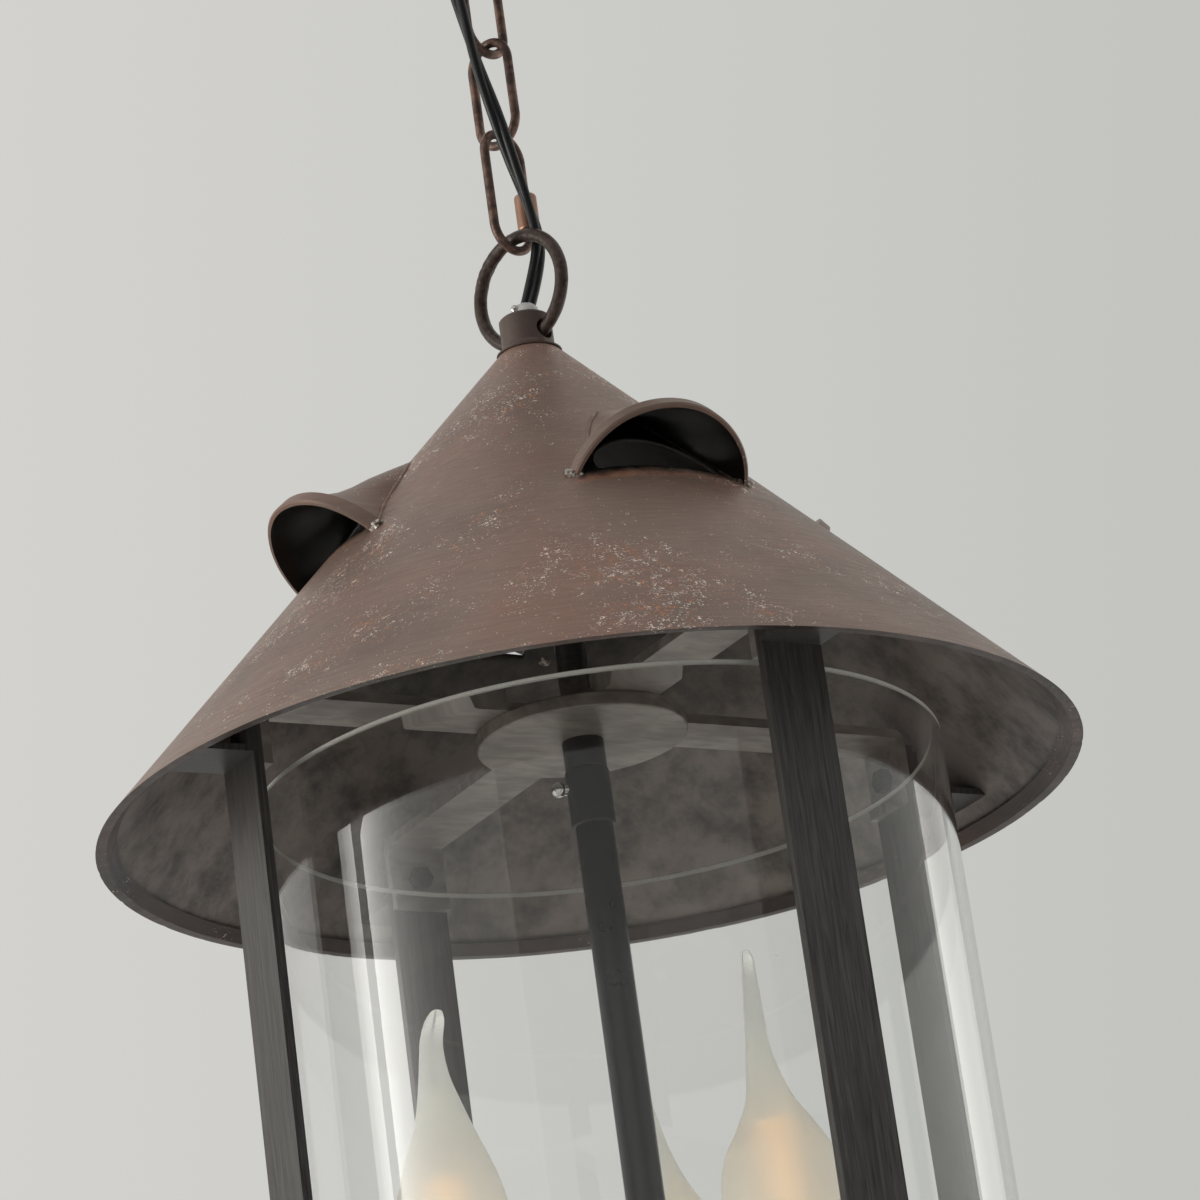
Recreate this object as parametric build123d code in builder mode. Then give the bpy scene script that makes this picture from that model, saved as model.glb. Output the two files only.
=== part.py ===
import os
from math import cos, pi, radians, sin, sqrt

from build123d import *

os.makedirs("parts", exist_ok=True)

# Three-light lantern pendant on a short chain.
# Millimetres, +Z up. The origin is the middle of the canopy, on the ceiling.
# A turn is an angle in degrees from -Y, counter-clockwise seen from above.

# Fits and gaps
running_fit = 0.06
thread_fit = 0.05
hang_gap = 0.3

# Canopy and ceiling fixings
canopy_radius = 55.0
canopy_height = 30.0
canopy_wall = 1.2
canopy_flat_radius = 30.0
strap_length = 92.0
strap_width = 20.0
strap_thickness = 2.0
strap_screw_spacing = 70.0
strap_slot_length = 9.0
strap_slot_radius = 2.5
nipple_radius = 5.0
nipple_bore = 3.2
loop_collar_radius = 7.5
loop_collar_length = 7.5
loop_mean_radius = 10.0
loop_wire = 4.0
cord_radius = 2.1
cord_entry = (-19.5, -5.2)
grommet_radius = 6.5

# Chain, quick link and hanging ring
loop_turn = 16.0
link_wire = 3.0
link_length = 39.0
link_width = 19.0
quick_link_length = 44.0
sleeve_radius = 3.6
sleeve_length = 13.0
ring_mean_radius = 18.0
ring_wire = 4.3

# Neck
collar_radius = 8.3
collar_wall = 2.0
collar_height = 12.5
collar_below_ring_centre = 10.15
collar_foot_radius = 10.4
spigot_length = 9.0
bushing_radius = 3.6
bushing_height = 2.6
bushing_neck = 2.9

# Roof
roof_radius = 150.0
roof_height = 151.2
roof_top_radius = 9.7
roof_sheet = 1.2
roof_hem_depth = 4.0
roof_hem_sheet = 2.4

# Vent hoods
hood_count = 4
hood_turn = -5.0
hood_mouth_from_rim = 107.5
hood_mouth_radius = 29.0
hood_axis_depth = 7.6
hood_lip_width = 4.5
hood_lip_wall = 1.5
hood_sheet = 1.0
hood_length = 44.0
vent_radius = 20.0
vent_setback = 3.0

# Stem, top straps and hub, heights measured up from the roof rim
hub_radius = 32.4
hub_thickness = 4.5
hub_height = 21.5
arm_thickness = 3.0
arm_width = 20.0
stem_radius = 4.75
stem_bore = 3.2
stem_nut_radius = 8.0
stem_nut_height = 6.0
stub_radius = 6.4
stub_length = 9.5
coupler_radius = 6.8
coupler_length = 17.8
coupler_screw_turn = -107.0
coupler_screw_drop = 5.5
rod_radius = 5.8
rod_bore = 3.6

# Side bars, brackets and their screws
bar_face_radius = 117.5
bar_width = 20.0
bar_thickness = 3.0
bar_top_height = 24.0
bar_bend_radius = 6.0
tab_bottom_height = 5.0
bar_screw_height = 15.0
bar_screw_radius = 2.0
bar_screw_end = 3.4
bracket_thickness = 2.0
bracket_height = 8.5

# Glass and its tray
glass_radius = 105.2
glass_wall = 2.5
glass_length = 258.0
glass_shift = (2.3, -1.4)
glass_top_height = 7.5
tray_floor = 1.5
tray_lip_height = 8.0
tray_lip_wall = 1.5
tray_opening_radius = 92.0
tray_play = 3.7

# Lower hub and finial
base_hub_thickness = 4.0
base_arm_inner_radius = 14.0
spindle_radius = 4.0
spindle_length = 18.0
finial_radius = 11.0
hub_screw_circle = 24.0

# Candle cluster
candle_turns = (-102.9, 14.5, 139.0)
candle_reaches = (60.3, 53.9, 57.2)
spider_hub_radius = 15.0
spider_hub_height = 18.0
spider_arm_radius = 4.0
spider_bend_radius = 11.0
spider_boss_radius = 7.0
spider_boss_height = 2.5
pan_radius = 22.0
pan_depth = 5.5
pan_sheet = 1.0
sleeve_outer = 12.5
sleeve_wall = 0.9
sleeve_height = 60.0
holder_radius = 11.1
holder_height = 44.0
holder_stands_out = 1.2
spider_arm_rise = 5.8
bulb_base_radius = 6.8
bulb_base_length = 23.0
bulb_skirt_radius = 8.4
bulb_skirt_height = 4.0
bulb_glass_length = 98.0
bulb_glass_wall = 0.8
bulb_widest_radius = 17.5
bulb_tip_turns = (58.0, -80.0, 240.0)
filament_radius = 1.0
filament_circle = 4.2
filament_rim = 0.4

# Heights that follow from the sizes above
loop_centre_z = -canopy_height - loop_collar_length - loop_mean_radius
loop_bottom_z = loop_centre_z - loop_mean_radius
link_1_top_z = loop_bottom_z + (loop_wire + link_wire) / 2 + hang_gap
link_1_bottom_z = link_1_top_z - (link_length - link_wire)
link_2_top_z = link_1_bottom_z + link_wire + hang_gap
link_2_bottom_z = link_2_top_z - (link_length - link_wire)
quick_top_z = link_2_bottom_z + link_wire + hang_gap
quick_bottom_z = quick_top_z - (quick_link_length - link_wire)
ring_top_z = quick_bottom_z + (link_wire + ring_wire) / 2 + hang_gap
ring_centre_z = ring_top_z - ring_mean_radius
collar_top_z = ring_centre_z - collar_below_ring_centre
neck_z = collar_top_z - collar_height
rim_z = neck_z - roof_height
hub_bottom_z = rim_z + hub_height
hub_top_z = hub_bottom_z + hub_thickness
arm_top_z = hub_top_z + arm_thickness
stub_bottom_z = hub_bottom_z - stub_length
coupler_bottom_z = stub_bottom_z - coupler_length
glass_top_z = rim_z + glass_top_height
glass_bottom_z = glass_top_z - glass_length
tray_z = glass_bottom_z - tray_floor
base_hub_top_z = tray_z + base_hub_thickness
bar_inner_radius = bar_face_radius - bar_thickness
slope_length = sqrt((roof_radius - roof_top_radius) ** 2 + roof_height**2)
slope_out = (roof_radius - roof_top_radius) / slope_length
slope_up = roof_height / slope_length


def outward(turn):
    """Unit vector that points away from the lamp's axis at a turn."""
    return Vector(sin(radians(turn)), -cos(radians(turn)), 0)


def upright(turn, shift=(0, 0)):
    """Vertical plane through an upright line: X runs outward, Y runs up."""
    across = outward(turn + 90)
    return Plane(origin=(shift[0], shift[1], 0), x_dir=outward(turn), z_dir=-across)


def spot(turn, radius, height=0.0):
    """Point at a turn, a distance from the axis and a height."""
    place = outward(turn) * radius
    return Vector(place.X, place.Y, height)


def keep(block, name):
    """Name a finished piece and write its file."""
    block.part.label = name
    export_step(block.part, f"parts/{name}.step")


def roof_line(along, lift=0.0):
    """Radius and height of a point on the roof, up the slope from the rim and out from its face."""
    radius = roof_radius - slope_out * along + slope_up * lift
    return radius, rim_z + slope_up * along + slope_out * lift


# Ceiling canopy, a spun bowl that is open against the ceiling
canopy_shoulder_z = -6.0
with BuildPart() as canopy:
    for inset, mode in ((0.0, Mode.ADD), (canopy_wall, Mode.SUBTRACT)):
        outer = canopy_radius - inset
        floor_z = -canopy_height + inset
        bulge = (0.86 * outer, -0.62 * canopy_height + 0.7 * inset)
        with BuildSketch(upright(90)):
            with BuildLine():
                Line((0, 0), (outer, 0))
                Line((outer, 0), (outer, canopy_shoulder_z))
                ThreePointArc((outer, canopy_shoulder_z), bulge, (canopy_flat_radius, floor_z))
                Line((canopy_flat_radius, floor_z), (0, floor_z))
                Line((0, floor_z), (0, 0))
            make_face()
        revolve(axis=Axis.Z, mode=mode)
    with BuildSketch(Plane.XY.offset(-canopy_height)):
        Circle(nipple_radius + thread_fit)
        with Locations(cord_entry):
            Circle(grommet_radius - 1.5)
    extrude(amount=2 * canopy_wall, mode=Mode.SUBTRACT)
keep(canopy, "ceiling_canopy")

# Mounting strap, a flat bar with two slots for the ceiling screws
with BuildPart() as strap:
    with BuildSketch():
        SlotOverall(strap_length, strap_width)
        with Locations((-strap_screw_spacing / 2, 0), (strap_screw_spacing / 2, 0)):
            SlotOverall(strap_slot_length, 2 * strap_slot_radius, mode=Mode.SUBTRACT)
        Circle(nipple_radius + thread_fit, mode=Mode.SUBTRACT)
    extrude(amount=-strap_thickness)
keep(strap, "mounting_strap")

# Threaded nipple that joins the strap, the canopy and the loop
nipple_end_z = -canopy_height - loop_collar_length + 2.0
with BuildPart() as nipple:
    with BuildSketch(Plane.XY.offset(-0.2)):
        Circle(nipple_radius)
        Circle(nipple_bore, mode=Mode.SUBTRACT)
    extrude(amount=nipple_end_z + 0.2)
    chamfer(nipple.edges().group_by(Axis.Z)[0], 0.5)
keep(nipple, "threaded_nipple")

# Canopy loop: a round nut with an eye below it
with BuildPart() as loop:
    with BuildSketch(upright(loop_turn)):
        with BuildLine():
            Polyline(
                (0, -canopy_height),
                (loop_collar_radius, -canopy_height),
                (loop_collar_radius, -canopy_height - loop_collar_length + 2.5),
                (loop_wire, -canopy_height - loop_collar_length - 1.0),
                (0, -canopy_height - loop_collar_length - 1.0),
                close=True,
            )
        make_face()
    revolve(axis=Axis.Z)
    with BuildSketch(Plane.XY.offset(-canopy_height)):
        Circle(nipple_radius + thread_fit)
    extrude(amount=nipple_end_z + canopy_height - 0.2, mode=Mode.SUBTRACT)
    with Locations(Plane(origin=(0, 0, loop_centre_z), z_dir=outward(loop_turn + 90))):
        Torus(loop_mean_radius, loop_wire / 2)
keep(loop, "canopy_loop")

# Rubber grommet where the cord enters the canopy
grommet_flange = 1.6
with BuildPart() as grommet:
    with BuildSketch(Plane.XY.offset(-canopy_height)):
        with Locations(cord_entry):
            Circle(grommet_radius)
    extrude(amount=-grommet_flange)
    fillet(grommet.edges().group_by(Axis.Z)[0], 0.7)
    with BuildSketch(Plane.XY.offset(-canopy_height)):
        with Locations(cord_entry):
            Circle(grommet_radius - 1.5)
    extrude(amount=canopy_wall)
    with BuildSketch(Plane.XY.offset(-canopy_height + canopy_wall)):
        with Locations(cord_entry):
            Circle(grommet_radius)
    extrude(amount=grommet_flange)
keep(grommet, "cord_grommet")


# Chain links, bent from round wire
def oval_link(turn, top_z, length, width, wire):
    end_radius = (width - wire) / 2
    high_z = top_z - end_radius
    low_z = top_z - (length - wire) + end_radius
    middle_z = (high_z + low_z) / 2
    with BuildPart() as link:
        with BuildLine(upright(turn)):
            Line((end_radius, middle_z), (end_radius, high_z))
            ThreePointArc((end_radius, high_z), (0, top_z), (-end_radius, high_z))
            Line((-end_radius, high_z), (-end_radius, low_z))
            ThreePointArc((-end_radius, low_z), (0, low_z - end_radius), (end_radius, low_z))
            Line((end_radius, low_z), (end_radius, middle_z))
        start = outward(turn) * end_radius
        with BuildSketch(Plane.XY.offset(middle_z)):
            with Locations((start.X, start.Y)):
                Circle(wire / 2)
        sweep()
    return link


cross_turn = loop_turn + 90
keep(oval_link(cross_turn, link_1_top_z, link_length, link_width, link_wire), "chain_link_1")
keep(oval_link(loop_turn, link_2_top_z, link_length, link_width, link_wire), "chain_link_2")
keep(oval_link(cross_turn, quick_top_z, quick_link_length, link_width, link_wire), "quick_link")

# Threaded sleeve that closes the quick link, on its far limb
limb_radius = (link_width - link_wire) / 2
sleeve_place = outward(cross_turn) * limb_radius
sleeve_bottom_z = quick_bottom_z + limb_radius + 0.4
with BuildPart() as link_sleeve:
    with BuildSketch(Plane.XY.offset(sleeve_bottom_z)):
        with Locations((sleeve_place.X, sleeve_place.Y)):
            Circle(sleeve_radius)
            Circle(link_wire / 2 + running_fit, mode=Mode.SUBTRACT)
    extrude(amount=sleeve_length)
    sleeve_rims = link_sleeve.edges().filter_by(GeomType.CIRCLE)
    fillet(sleeve_rims.filter_by(lambda rim: rim.radius > 2.5), 1.1)
keep(link_sleeve, "quick_link_sleeve")

# Hanging ring that carries the lantern by its neck
with BuildPart() as ring:
    with Locations(Plane(origin=(0, 0, ring_centre_z), z_dir=outward(loop_turn + 90))):
        Torus(ring_mean_radius, ring_wire / 2)
keep(ring, "hanging_ring")

# Supply cord, from the grommet past the chain and down behind the ring to the neck
cord_bottom_z = collar_top_z + bushing_height
cord_top_z = -canopy_height - grommet_flange
cord_points = [
    (cord_entry[0], cord_entry[1], cord_top_z + 1.0),
    (-18.2, -5.6, -47.0),
    (-14.6, -6.2, -63.0),
    (-12.1, -6.9, -80.5),
    (-9.4, -7.4, -99.0),
    (-5.6, -8.4, -117.0),
    (-1.9, -8.3, -133.0),
    (3.4, -5.7, -145.5),
    (7.2, -3.9, -157.0),
    (4.6, -2.9, -169.5),
    (0.2, -0.8, cord_bottom_z - 1.0),
]


def cord_radii(points):
    radii = []
    for before, corner, after in zip(points, points[1:], points[2:]):
        arriving = Vector(*corner) - Vector(*before)
        leaving = Vector(*after) - Vector(*corner)
        half_turn = radians(arriving.get_angle(leaving) / 2)
        reach = 0.45 * min(arriving.length, leaving.length)
        radii.append(reach * cos(half_turn) / sin(half_turn))
    return radii


corner_radii = cord_radii(cord_points)
print("cord radii", [round(radius, 1) for radius in corner_radii])
with BuildPart() as cord:
    with BuildLine() as cord_run:
        FilletPolyline(*cord_points, radius=corner_radii)
    with BuildSketch(Plane(origin=cord_run.line @ 0, z_dir=cord_run.line % 0)):
        Circle(cord_radius)
    sweep()
cord_length = cord_run.wire().length
print("cord length", round(cord_length, 1))
plain_volume = pi * cord_radius**2 * cord_length
print("cord volume over section times length", round(cord.part.volume / plain_volume, 4))
with cord:
    split(bisect_by=Plane.XY.offset(cord_top_z), keep=Keep.BOTTOM)
    split(bisect_by=Plane.XY.offset(cord_bottom_z), keep=Keep.TOP)
keep(cord, "power_cord")

# Neck collar: a cap with two side holes for the ring and a spigot inside the roof
ring_crossing_z = ring_centre_z - sqrt(ring_mean_radius**2 - (collar_radius - collar_wall / 2) ** 2)
ring_hole_radius = ring_wire / 2 + 1.15
collar_bore = collar_radius - collar_wall
collar_floor_z = ring_centre_z - ring_mean_radius - ring_wire / 2 - 1.2
roof_inner_top = roof_top_radius - roof_sheet / slope_up
with BuildPart() as collar:
    with BuildSketch(upright(90)):
        with BuildLine():
            Line((0, collar_top_z), (collar_radius - 0.6, collar_top_z))
            Line((collar_radius - 0.6, collar_top_z), (collar_radius, collar_top_z - 0.6))
            Line((collar_radius, collar_top_z - 0.6), (collar_radius, neck_z + 3.2))
            ThreePointArc(
                (collar_radius, neck_z + 3.2),
                (collar_radius + 0.6, neck_z + 1.3),
                (collar_foot_radius, neck_z + 0.5),
            )
            Polyline(
                (collar_foot_radius, neck_z + 0.5),
                (collar_foot_radius, neck_z),
                (roof_inner_top - 0.15, neck_z),
                (roof_inner_top - 0.15, neck_z - spigot_length),
                (0, neck_z - spigot_length),
                (0, collar_top_z),
            )
        make_face()
    revolve(axis=Axis.Z)
    with BuildSketch(Plane.XY.offset(collar_top_z - collar_wall)):
        Circle(collar_bore)
    extrude(amount=collar_floor_z - collar_top_z + collar_wall, mode=Mode.SUBTRACT)
    with BuildSketch(Plane.XY.offset(collar_top_z)):
        Circle(bushing_neck)
    extrude(amount=-collar_wall, mode=Mode.SUBTRACT)
    with BuildSketch(Plane.XY.offset(neck_z - spigot_length)):
        Circle(stem_radius + thread_fit)
    extrude(amount=collar_floor_z - neck_z + spigot_length, mode=Mode.SUBTRACT)
    with BuildSketch(Plane(origin=(0, 0, ring_crossing_z), z_dir=outward(loop_turn))):
        Circle(ring_hole_radius)
    extrude(amount=2 * collar_radius, both=True, mode=Mode.SUBTRACT)
keep(collar, "neck_collar")

# Clear bushing where the cord enters the neck
with BuildPart() as bushing:
    with BuildSketch(Plane.XY.offset(collar_top_z)):
        Circle(bushing_radius)
    extrude(amount=bushing_height)
    fillet(bushing.edges().group_by(Axis.Z)[-1], 0.8)
    with BuildSketch(Plane.XY.offset(collar_top_z)):
        Circle(bushing_neck)
    extrude(amount=-collar_wall)
keep(bushing, "cord_bushing")

# Roof: one sheet-metal cone with a folded hem at its rim and a half-round vent under each hood
side_step = 1 / slope_up
with BuildPart() as roof:
    with BuildSketch(upright(90)):
        with BuildLine():
            hem_outer = roof_line(roof_hem_depth)
            Polyline(
                (roof_radius, rim_z),
                (roof_top_radius, neck_z),
                (roof_top_radius - roof_sheet * side_step, neck_z),
                (hem_outer[0] - roof_sheet * side_step, hem_outer[1]),
                (hem_outer[0] - roof_hem_sheet * side_step, hem_outer[1]),
                (roof_radius - roof_hem_sheet * side_step, rim_z),
                close=True,
            )
        make_face()
    revolve(axis=Axis.Z)
    rim_edges = roof.edges().filter_by(GeomType.CIRCLE).group_by(Axis.Z)[0]
    fillet(rim_edges, 0.3)
    for number in range(hood_count):
        vent_turn = hood_turn + number * 360 / hood_count
        sill_radius, sill_z = roof_line(hood_mouth_from_rim + vent_setback)
        square_out = outward(vent_turn) * slope_up + Vector(0, 0, slope_out)
        sill = Plane(
            origin=spot(vent_turn, sill_radius, sill_z),
            x_dir=outward(vent_turn + 90),
            z_dir=square_out,
        )
        with BuildSketch(sill):
            with BuildLine():
                Line((-vent_radius, 0), (vent_radius, 0))
                ThreePointArc((vent_radius, 0), (0, vent_radius), (-vent_radius, 0))
            make_face()
        extrude(amount=4 * roof_sheet, both=True, mode=Mode.SUBTRACT)
keep(roof, "roof_cone")


# Vent hoods: bell-shaped scoops, cut to sit on the roof
def vent_hood(turn):
    middle = outward(turn)
    mouth_r, mouth_z = roof_line(hood_mouth_from_rim, -hood_axis_depth)
    up_slope = Vector(-middle.X * slope_out, -middle.Y * slope_out, slope_up)
    away = Vector(middle.X * slope_up, middle.Y * slope_up, slope_out)
    start = spot(turn, mouth_r, mouth_z)
    lengthways = Plane(origin=start, x_dir=up_slope, z_dir=up_slope.cross(away))
    lip = hood_mouth_radius
    waist = 0.44 * lip
    end = hood_length
    with BuildPart() as hood:
        with BuildSketch(lengthways):
            with BuildLine():
                Polyline((hood_lip_width, lip - 1.9), (hood_lip_width, lip - 0.3), (0.6, lip))
                Polyline((0.6, lip), (0, lip - 0.5), (0, lip - hood_lip_wall))
                Line((0, lip - hood_lip_wall), (hood_lip_width, lip - 1.9 - hood_sheet))
                Spline(
                    (hood_lip_width, lip - 1.9 - hood_sheet),
                    (0.36 * end, 0.67 * lip - hood_sheet),
                    (0.66 * end, 0.49 * lip - hood_sheet),
                    (end - 1.2 * hood_sheet, waist - 4.6 - hood_sheet),
                )
                Line((end - 1.2 * hood_sheet, waist - 4.6 - hood_sheet), (end, waist - 4.6 - hood_sheet))
                Line((end, waist - 4.6 - hood_sheet), (end, waist - 3.6))
                Spline(
                    (end, waist - 3.6),
                    (0.66 * end, 0.49 * lip),
                    (0.36 * end, 0.67 * lip),
                    (hood_lip_width, lip - 1.9),
                )
            make_face()
        revolve(axis=Axis(tuple(start), tuple(up_slope)))
        with BuildSketch(upright(turn)):
            with BuildLine():
                Polyline(
                    (0, rim_z),
                    (roof_radius, rim_z),
                    (roof_top_radius, neck_z),
                    (0, neck_z),
                    close=True,
                )
            make_face()
        revolve(axis=Axis.Z, mode=Mode.SUBTRACT)
    return hood


for number in range(hood_count):
    hood_at = hood_turn + number * 360 / hood_count
    keep(vent_hood(hood_at), f"vent_hood_{number + 1}")

# Threaded stem from the neck down through the hub
stem_top_z = collar_floor_z - 1.0
stem_bottom_z = stub_bottom_z - 3.0
with BuildPart() as stem:
    with BuildSketch(Plane.XY.offset(stem_bottom_z)):
        Circle(stem_radius)
        Circle(stem_bore, mode=Mode.SUBTRACT)
    extrude(amount=stem_top_z - stem_bottom_z)
keep(stem, "hanger_stem")


# Top straps: two flat bars crossed and half-lapped, their ends turned down
def top_strap(turn, notch_on_top):
    tab_z = rim_z + tab_bottom_height
    with BuildPart() as bar:
        with BuildSketch(upright(turn)) as bar_face:
            with BuildLine():
                Polyline(
                    (-bar_inner_radius, tab_z),
                    (-bar_inner_radius, arm_top_z),
                    (bar_inner_radius, arm_top_z),
                    (bar_inner_radius, tab_z),
                    (bar_inner_radius - arm_thickness, tab_z),
                    (bar_inner_radius - arm_thickness, hub_top_z),
                    (arm_thickness - bar_inner_radius, hub_top_z),
                    (arm_thickness - bar_inner_radius, tab_z),
                    close=True,
                )
            make_face()
            fillet(bar_face.vertices().group_by(Axis.Y)[-1], 1.3 * arm_thickness)
        extrude(amount=arm_width / 2, both=True)
        with BuildSketch(Plane.XY.offset(hub_top_z)):
            Circle(stem_radius + thread_fit)
        extrude(amount=arm_thickness, mode=Mode.SUBTRACT)
        half = arm_thickness / 2
        notch_z = hub_top_z + half if notch_on_top else hub_top_z
        across = outward(turn)
        with BuildSketch(Plane(origin=(0, 0, notch_z), x_dir=across, z_dir=(0, 0, 1))):
            Rectangle(arm_width + 2 * thread_fit, arm_width + 1.0)
        extrude(amount=half, mode=Mode.SUBTRACT)
        screw_line = Plane(origin=(0, 0, rim_z + bar_screw_height), z_dir=across)
        with BuildSketch(screw_line):
            Circle(bar_screw_radius + thread_fit)
        extrude(amount=bar_face_radius, both=True, mode=Mode.SUBTRACT)
    return bar


keep(top_strap(0, True), "top_strap_y")
keep(top_strap(90, False), "top_strap_x")

# Hub disc under the straps
with BuildPart() as hub:
    with BuildSketch(Plane.XY.offset(hub_bottom_z)):
        Circle(hub_radius)
    extrude(amount=hub_thickness)
    fillet(hub.edges().filter_by(GeomType.CIRCLE), 0.6)
    with BuildSketch(Plane.XY.offset(hub_bottom_z)):
        Circle(stem_radius + thread_fit)
    extrude(amount=hub_thickness, mode=Mode.SUBTRACT)
keep(hub, "hub_disc")

# Lock nut on the stem above the straps
with BuildPart() as stem_nut:
    with BuildSketch(Plane.XY.offset(arm_top_z)):
        RegularPolygon(stem_nut_radius, 6)
        Circle(stem_radius + thread_fit, mode=Mode.SUBTRACT)
    extrude(amount=stem_nut_height)
keep(stem_nut, "stem_nut")

# Short stub tube between the hub and the coupler
with BuildPart() as stub:
    with BuildSketch(Plane.XY.offset(stub_bottom_z)):
        Circle(stub_radius)
    extrude(amount=stub_length)
    fillet(stub.edges().group_by(Axis.Z)[0], 0.8)
    with BuildSketch(Plane.XY.offset(stub_bottom_z)):
        Circle(stem_radius + thread_fit)
    extrude(amount=stub_length, mode=Mode.SUBTRACT)
keep(stub, "stem_stub")

# Coupler that joins the stem to the rod, with its side screw hole
coupler_screw_z = stub_bottom_z - coupler_screw_drop
coupler_screw_hole = 1.6
rod_top_z = stem_bottom_z - 0.6
screw_plane = Plane(origin=(0, 0, coupler_screw_z), z_dir=outward(coupler_screw_turn))
with BuildPart() as coupler:
    with BuildSketch(Plane.XY.offset(coupler_bottom_z)):
        Circle(coupler_radius)
    extrude(amount=coupler_length)
    fillet(coupler.edges().filter_by(GeomType.CIRCLE), 0.7)
    with BuildSketch(Plane.XY.offset(stub_bottom_z)):
        Circle(stem_radius + thread_fit)
    extrude(amount=stem_bottom_z - stub_bottom_z - 0.5, mode=Mode.SUBTRACT)
    with BuildSketch(Plane.XY.offset(coupler_bottom_z)):
        Circle(rod_radius + thread_fit)
    extrude(amount=rod_top_z - coupler_bottom_z + 0.1, mode=Mode.SUBTRACT)
    with BuildSketch(screw_plane):
        Circle(coupler_screw_hole + running_fit)
    extrude(amount=coupler_radius + 1.0, mode=Mode.SUBTRACT)
keep(coupler, "stem_coupler")

# Ball-headed side screw of the coupler
ball_radius = 2.4
screw_tip = rod_radius + thread_fit
with BuildPart() as side_screw:
    with BuildSketch(screw_plane.offset(screw_tip)):
        Circle(coupler_screw_hole)
    extrude(amount=coupler_radius + 0.6 - screw_tip)
    with BuildSketch(screw_plane.offset(coupler_radius + 0.2)):
        Circle(1.9)
    extrude(amount=0.9)
    with Locations(spot(coupler_screw_turn, coupler_radius + 2.6, coupler_screw_z)):
        Sphere(ball_radius)
keep(side_screw, "coupler_screw")

# Centre rod, a tube that ends in a threaded spindle
spindle_end_z = base_hub_top_z - spindle_length
with BuildPart() as rod:
    with BuildSketch(Plane.XY.offset(base_hub_top_z)):
        Circle(rod_radius)
    extrude(amount=rod_top_z - base_hub_top_z)
    with BuildSketch(Plane.XY.offset(spindle_end_z)):
        Circle(spindle_radius)
    extrude(amount=spindle_length)
    with BuildSketch(Plane.XY.offset(base_hub_top_z + 10.0)):
        Circle(rod_bore)
    extrude(amount=rod_top_z - base_hub_top_z - 10.0, mode=Mode.SUBTRACT)
keep(rod, "centre_rod")


# Side bars: flat bars outside the glass, turned inward under the tray
def side_bar(turn):
    with BuildPart() as bar:
        with BuildSketch(upright(turn)) as bar_face:
            with BuildLine():
                Polyline(
                    (bar_face_radius, rim_z + bar_top_height),
                    (bar_face_radius, tray_z - bar_thickness),
                    (base_arm_inner_radius, tray_z - bar_thickness),
                    (base_arm_inner_radius, tray_z),
                    (bar_inner_radius, tray_z),
                    (bar_inner_radius, rim_z + bar_top_height),
                    close=True,
                )
            make_face()
            inside_corner = bar_face.vertices().sort_by_distance((bar_inner_radius, tray_z, 0))[0]
            fillet(inside_corner, bar_bend_radius - bar_thickness)
            foot_point = (bar_face_radius, tray_z - bar_thickness, 0)
            outside_corner = bar_face.vertices().sort_by_distance(foot_point)[0]
            fillet(outside_corner, bar_bend_radius)
        extrude(amount=bar_width / 2, both=True)
        with BuildSketch(Plane(origin=(0, 0, rim_z + bar_screw_height), z_dir=outward(turn))):
            Circle(bar_screw_radius + thread_fit)
        extrude(amount=bar_face_radius + 1.0, mode=Mode.SUBTRACT)
        hub_hole = spot(turn, hub_screw_circle)
        with BuildSketch(Plane.XY.offset(tray_z)):
            with Locations((hub_hole.X, hub_hole.Y)):
                Circle(bar_screw_radius + thread_fit)
        extrude(amount=-bar_thickness, mode=Mode.SUBTRACT)
    return bar


bar_turns = (0, 90, 180, 270)
for number, turn in enumerate(bar_turns):
    keep(side_bar(turn), f"side_bar_{number + 1}")

# Four roof brackets: angle tabs from the bar tops out to the inside of the roof
bracket_bottom_z = rim_z + bracket_height
roof_inner_rim = roof_radius - roof_sheet * side_step
with BuildPart() as brackets:
    for turn in bar_turns:
        with BuildSketch(upright(turn)):
            with BuildLine():
                Polyline(
                    (bar_face_radius, bracket_bottom_z),
                    (roof_radius, bracket_bottom_z),
                    (roof_radius, bracket_bottom_z + bracket_thickness),
                    (bar_face_radius + bracket_thickness, bracket_bottom_z + bracket_thickness),
                    (bar_face_radius + bracket_thickness, rim_z + bar_top_height - 2.0),
                    (bar_face_radius, rim_z + bar_top_height - 2.0),
                    close=True,
                )
            make_face()
        extrude(amount=bar_width / 2, both=True)
        with BuildSketch(Plane(origin=(0, 0, rim_z + bar_screw_height), z_dir=outward(turn))):
            Circle(bar_screw_radius + thread_fit)
        extrude(amount=bar_face_radius + 2 * bracket_thickness, mode=Mode.SUBTRACT)
    with BuildSketch(upright(90)):
        with BuildLine():
            Polyline(
                (roof_inner_rim, rim_z),
                (roof_inner_top, neck_z),
                (roof_radius + 20, neck_z),
                (roof_radius + 20, rim_z),
                close=True,
            )
        make_face()
    revolve(axis=Axis.Z, mode=Mode.SUBTRACT)
keep(brackets, "roof_brackets")

# Four screws through bracket, bar and strap end
screw_head_at = bar_face_radius + bracket_thickness
with BuildPart() as bar_screws:
    for turn in bar_turns:
        facing = Plane(origin=(0, 0, rim_z + bar_screw_height), z_dir=outward(turn))
        with BuildSketch(facing.offset(screw_head_at)):
            Circle(1.8 * bar_screw_radius)
        extrude(amount=1.8)
        with BuildSketch(facing.offset(screw_head_at)):
            Circle(bar_screw_radius)
        extrude(amount=-(bracket_thickness + bar_thickness + arm_thickness + bar_screw_end))
keep(bar_screws, "bar_screws")

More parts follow.
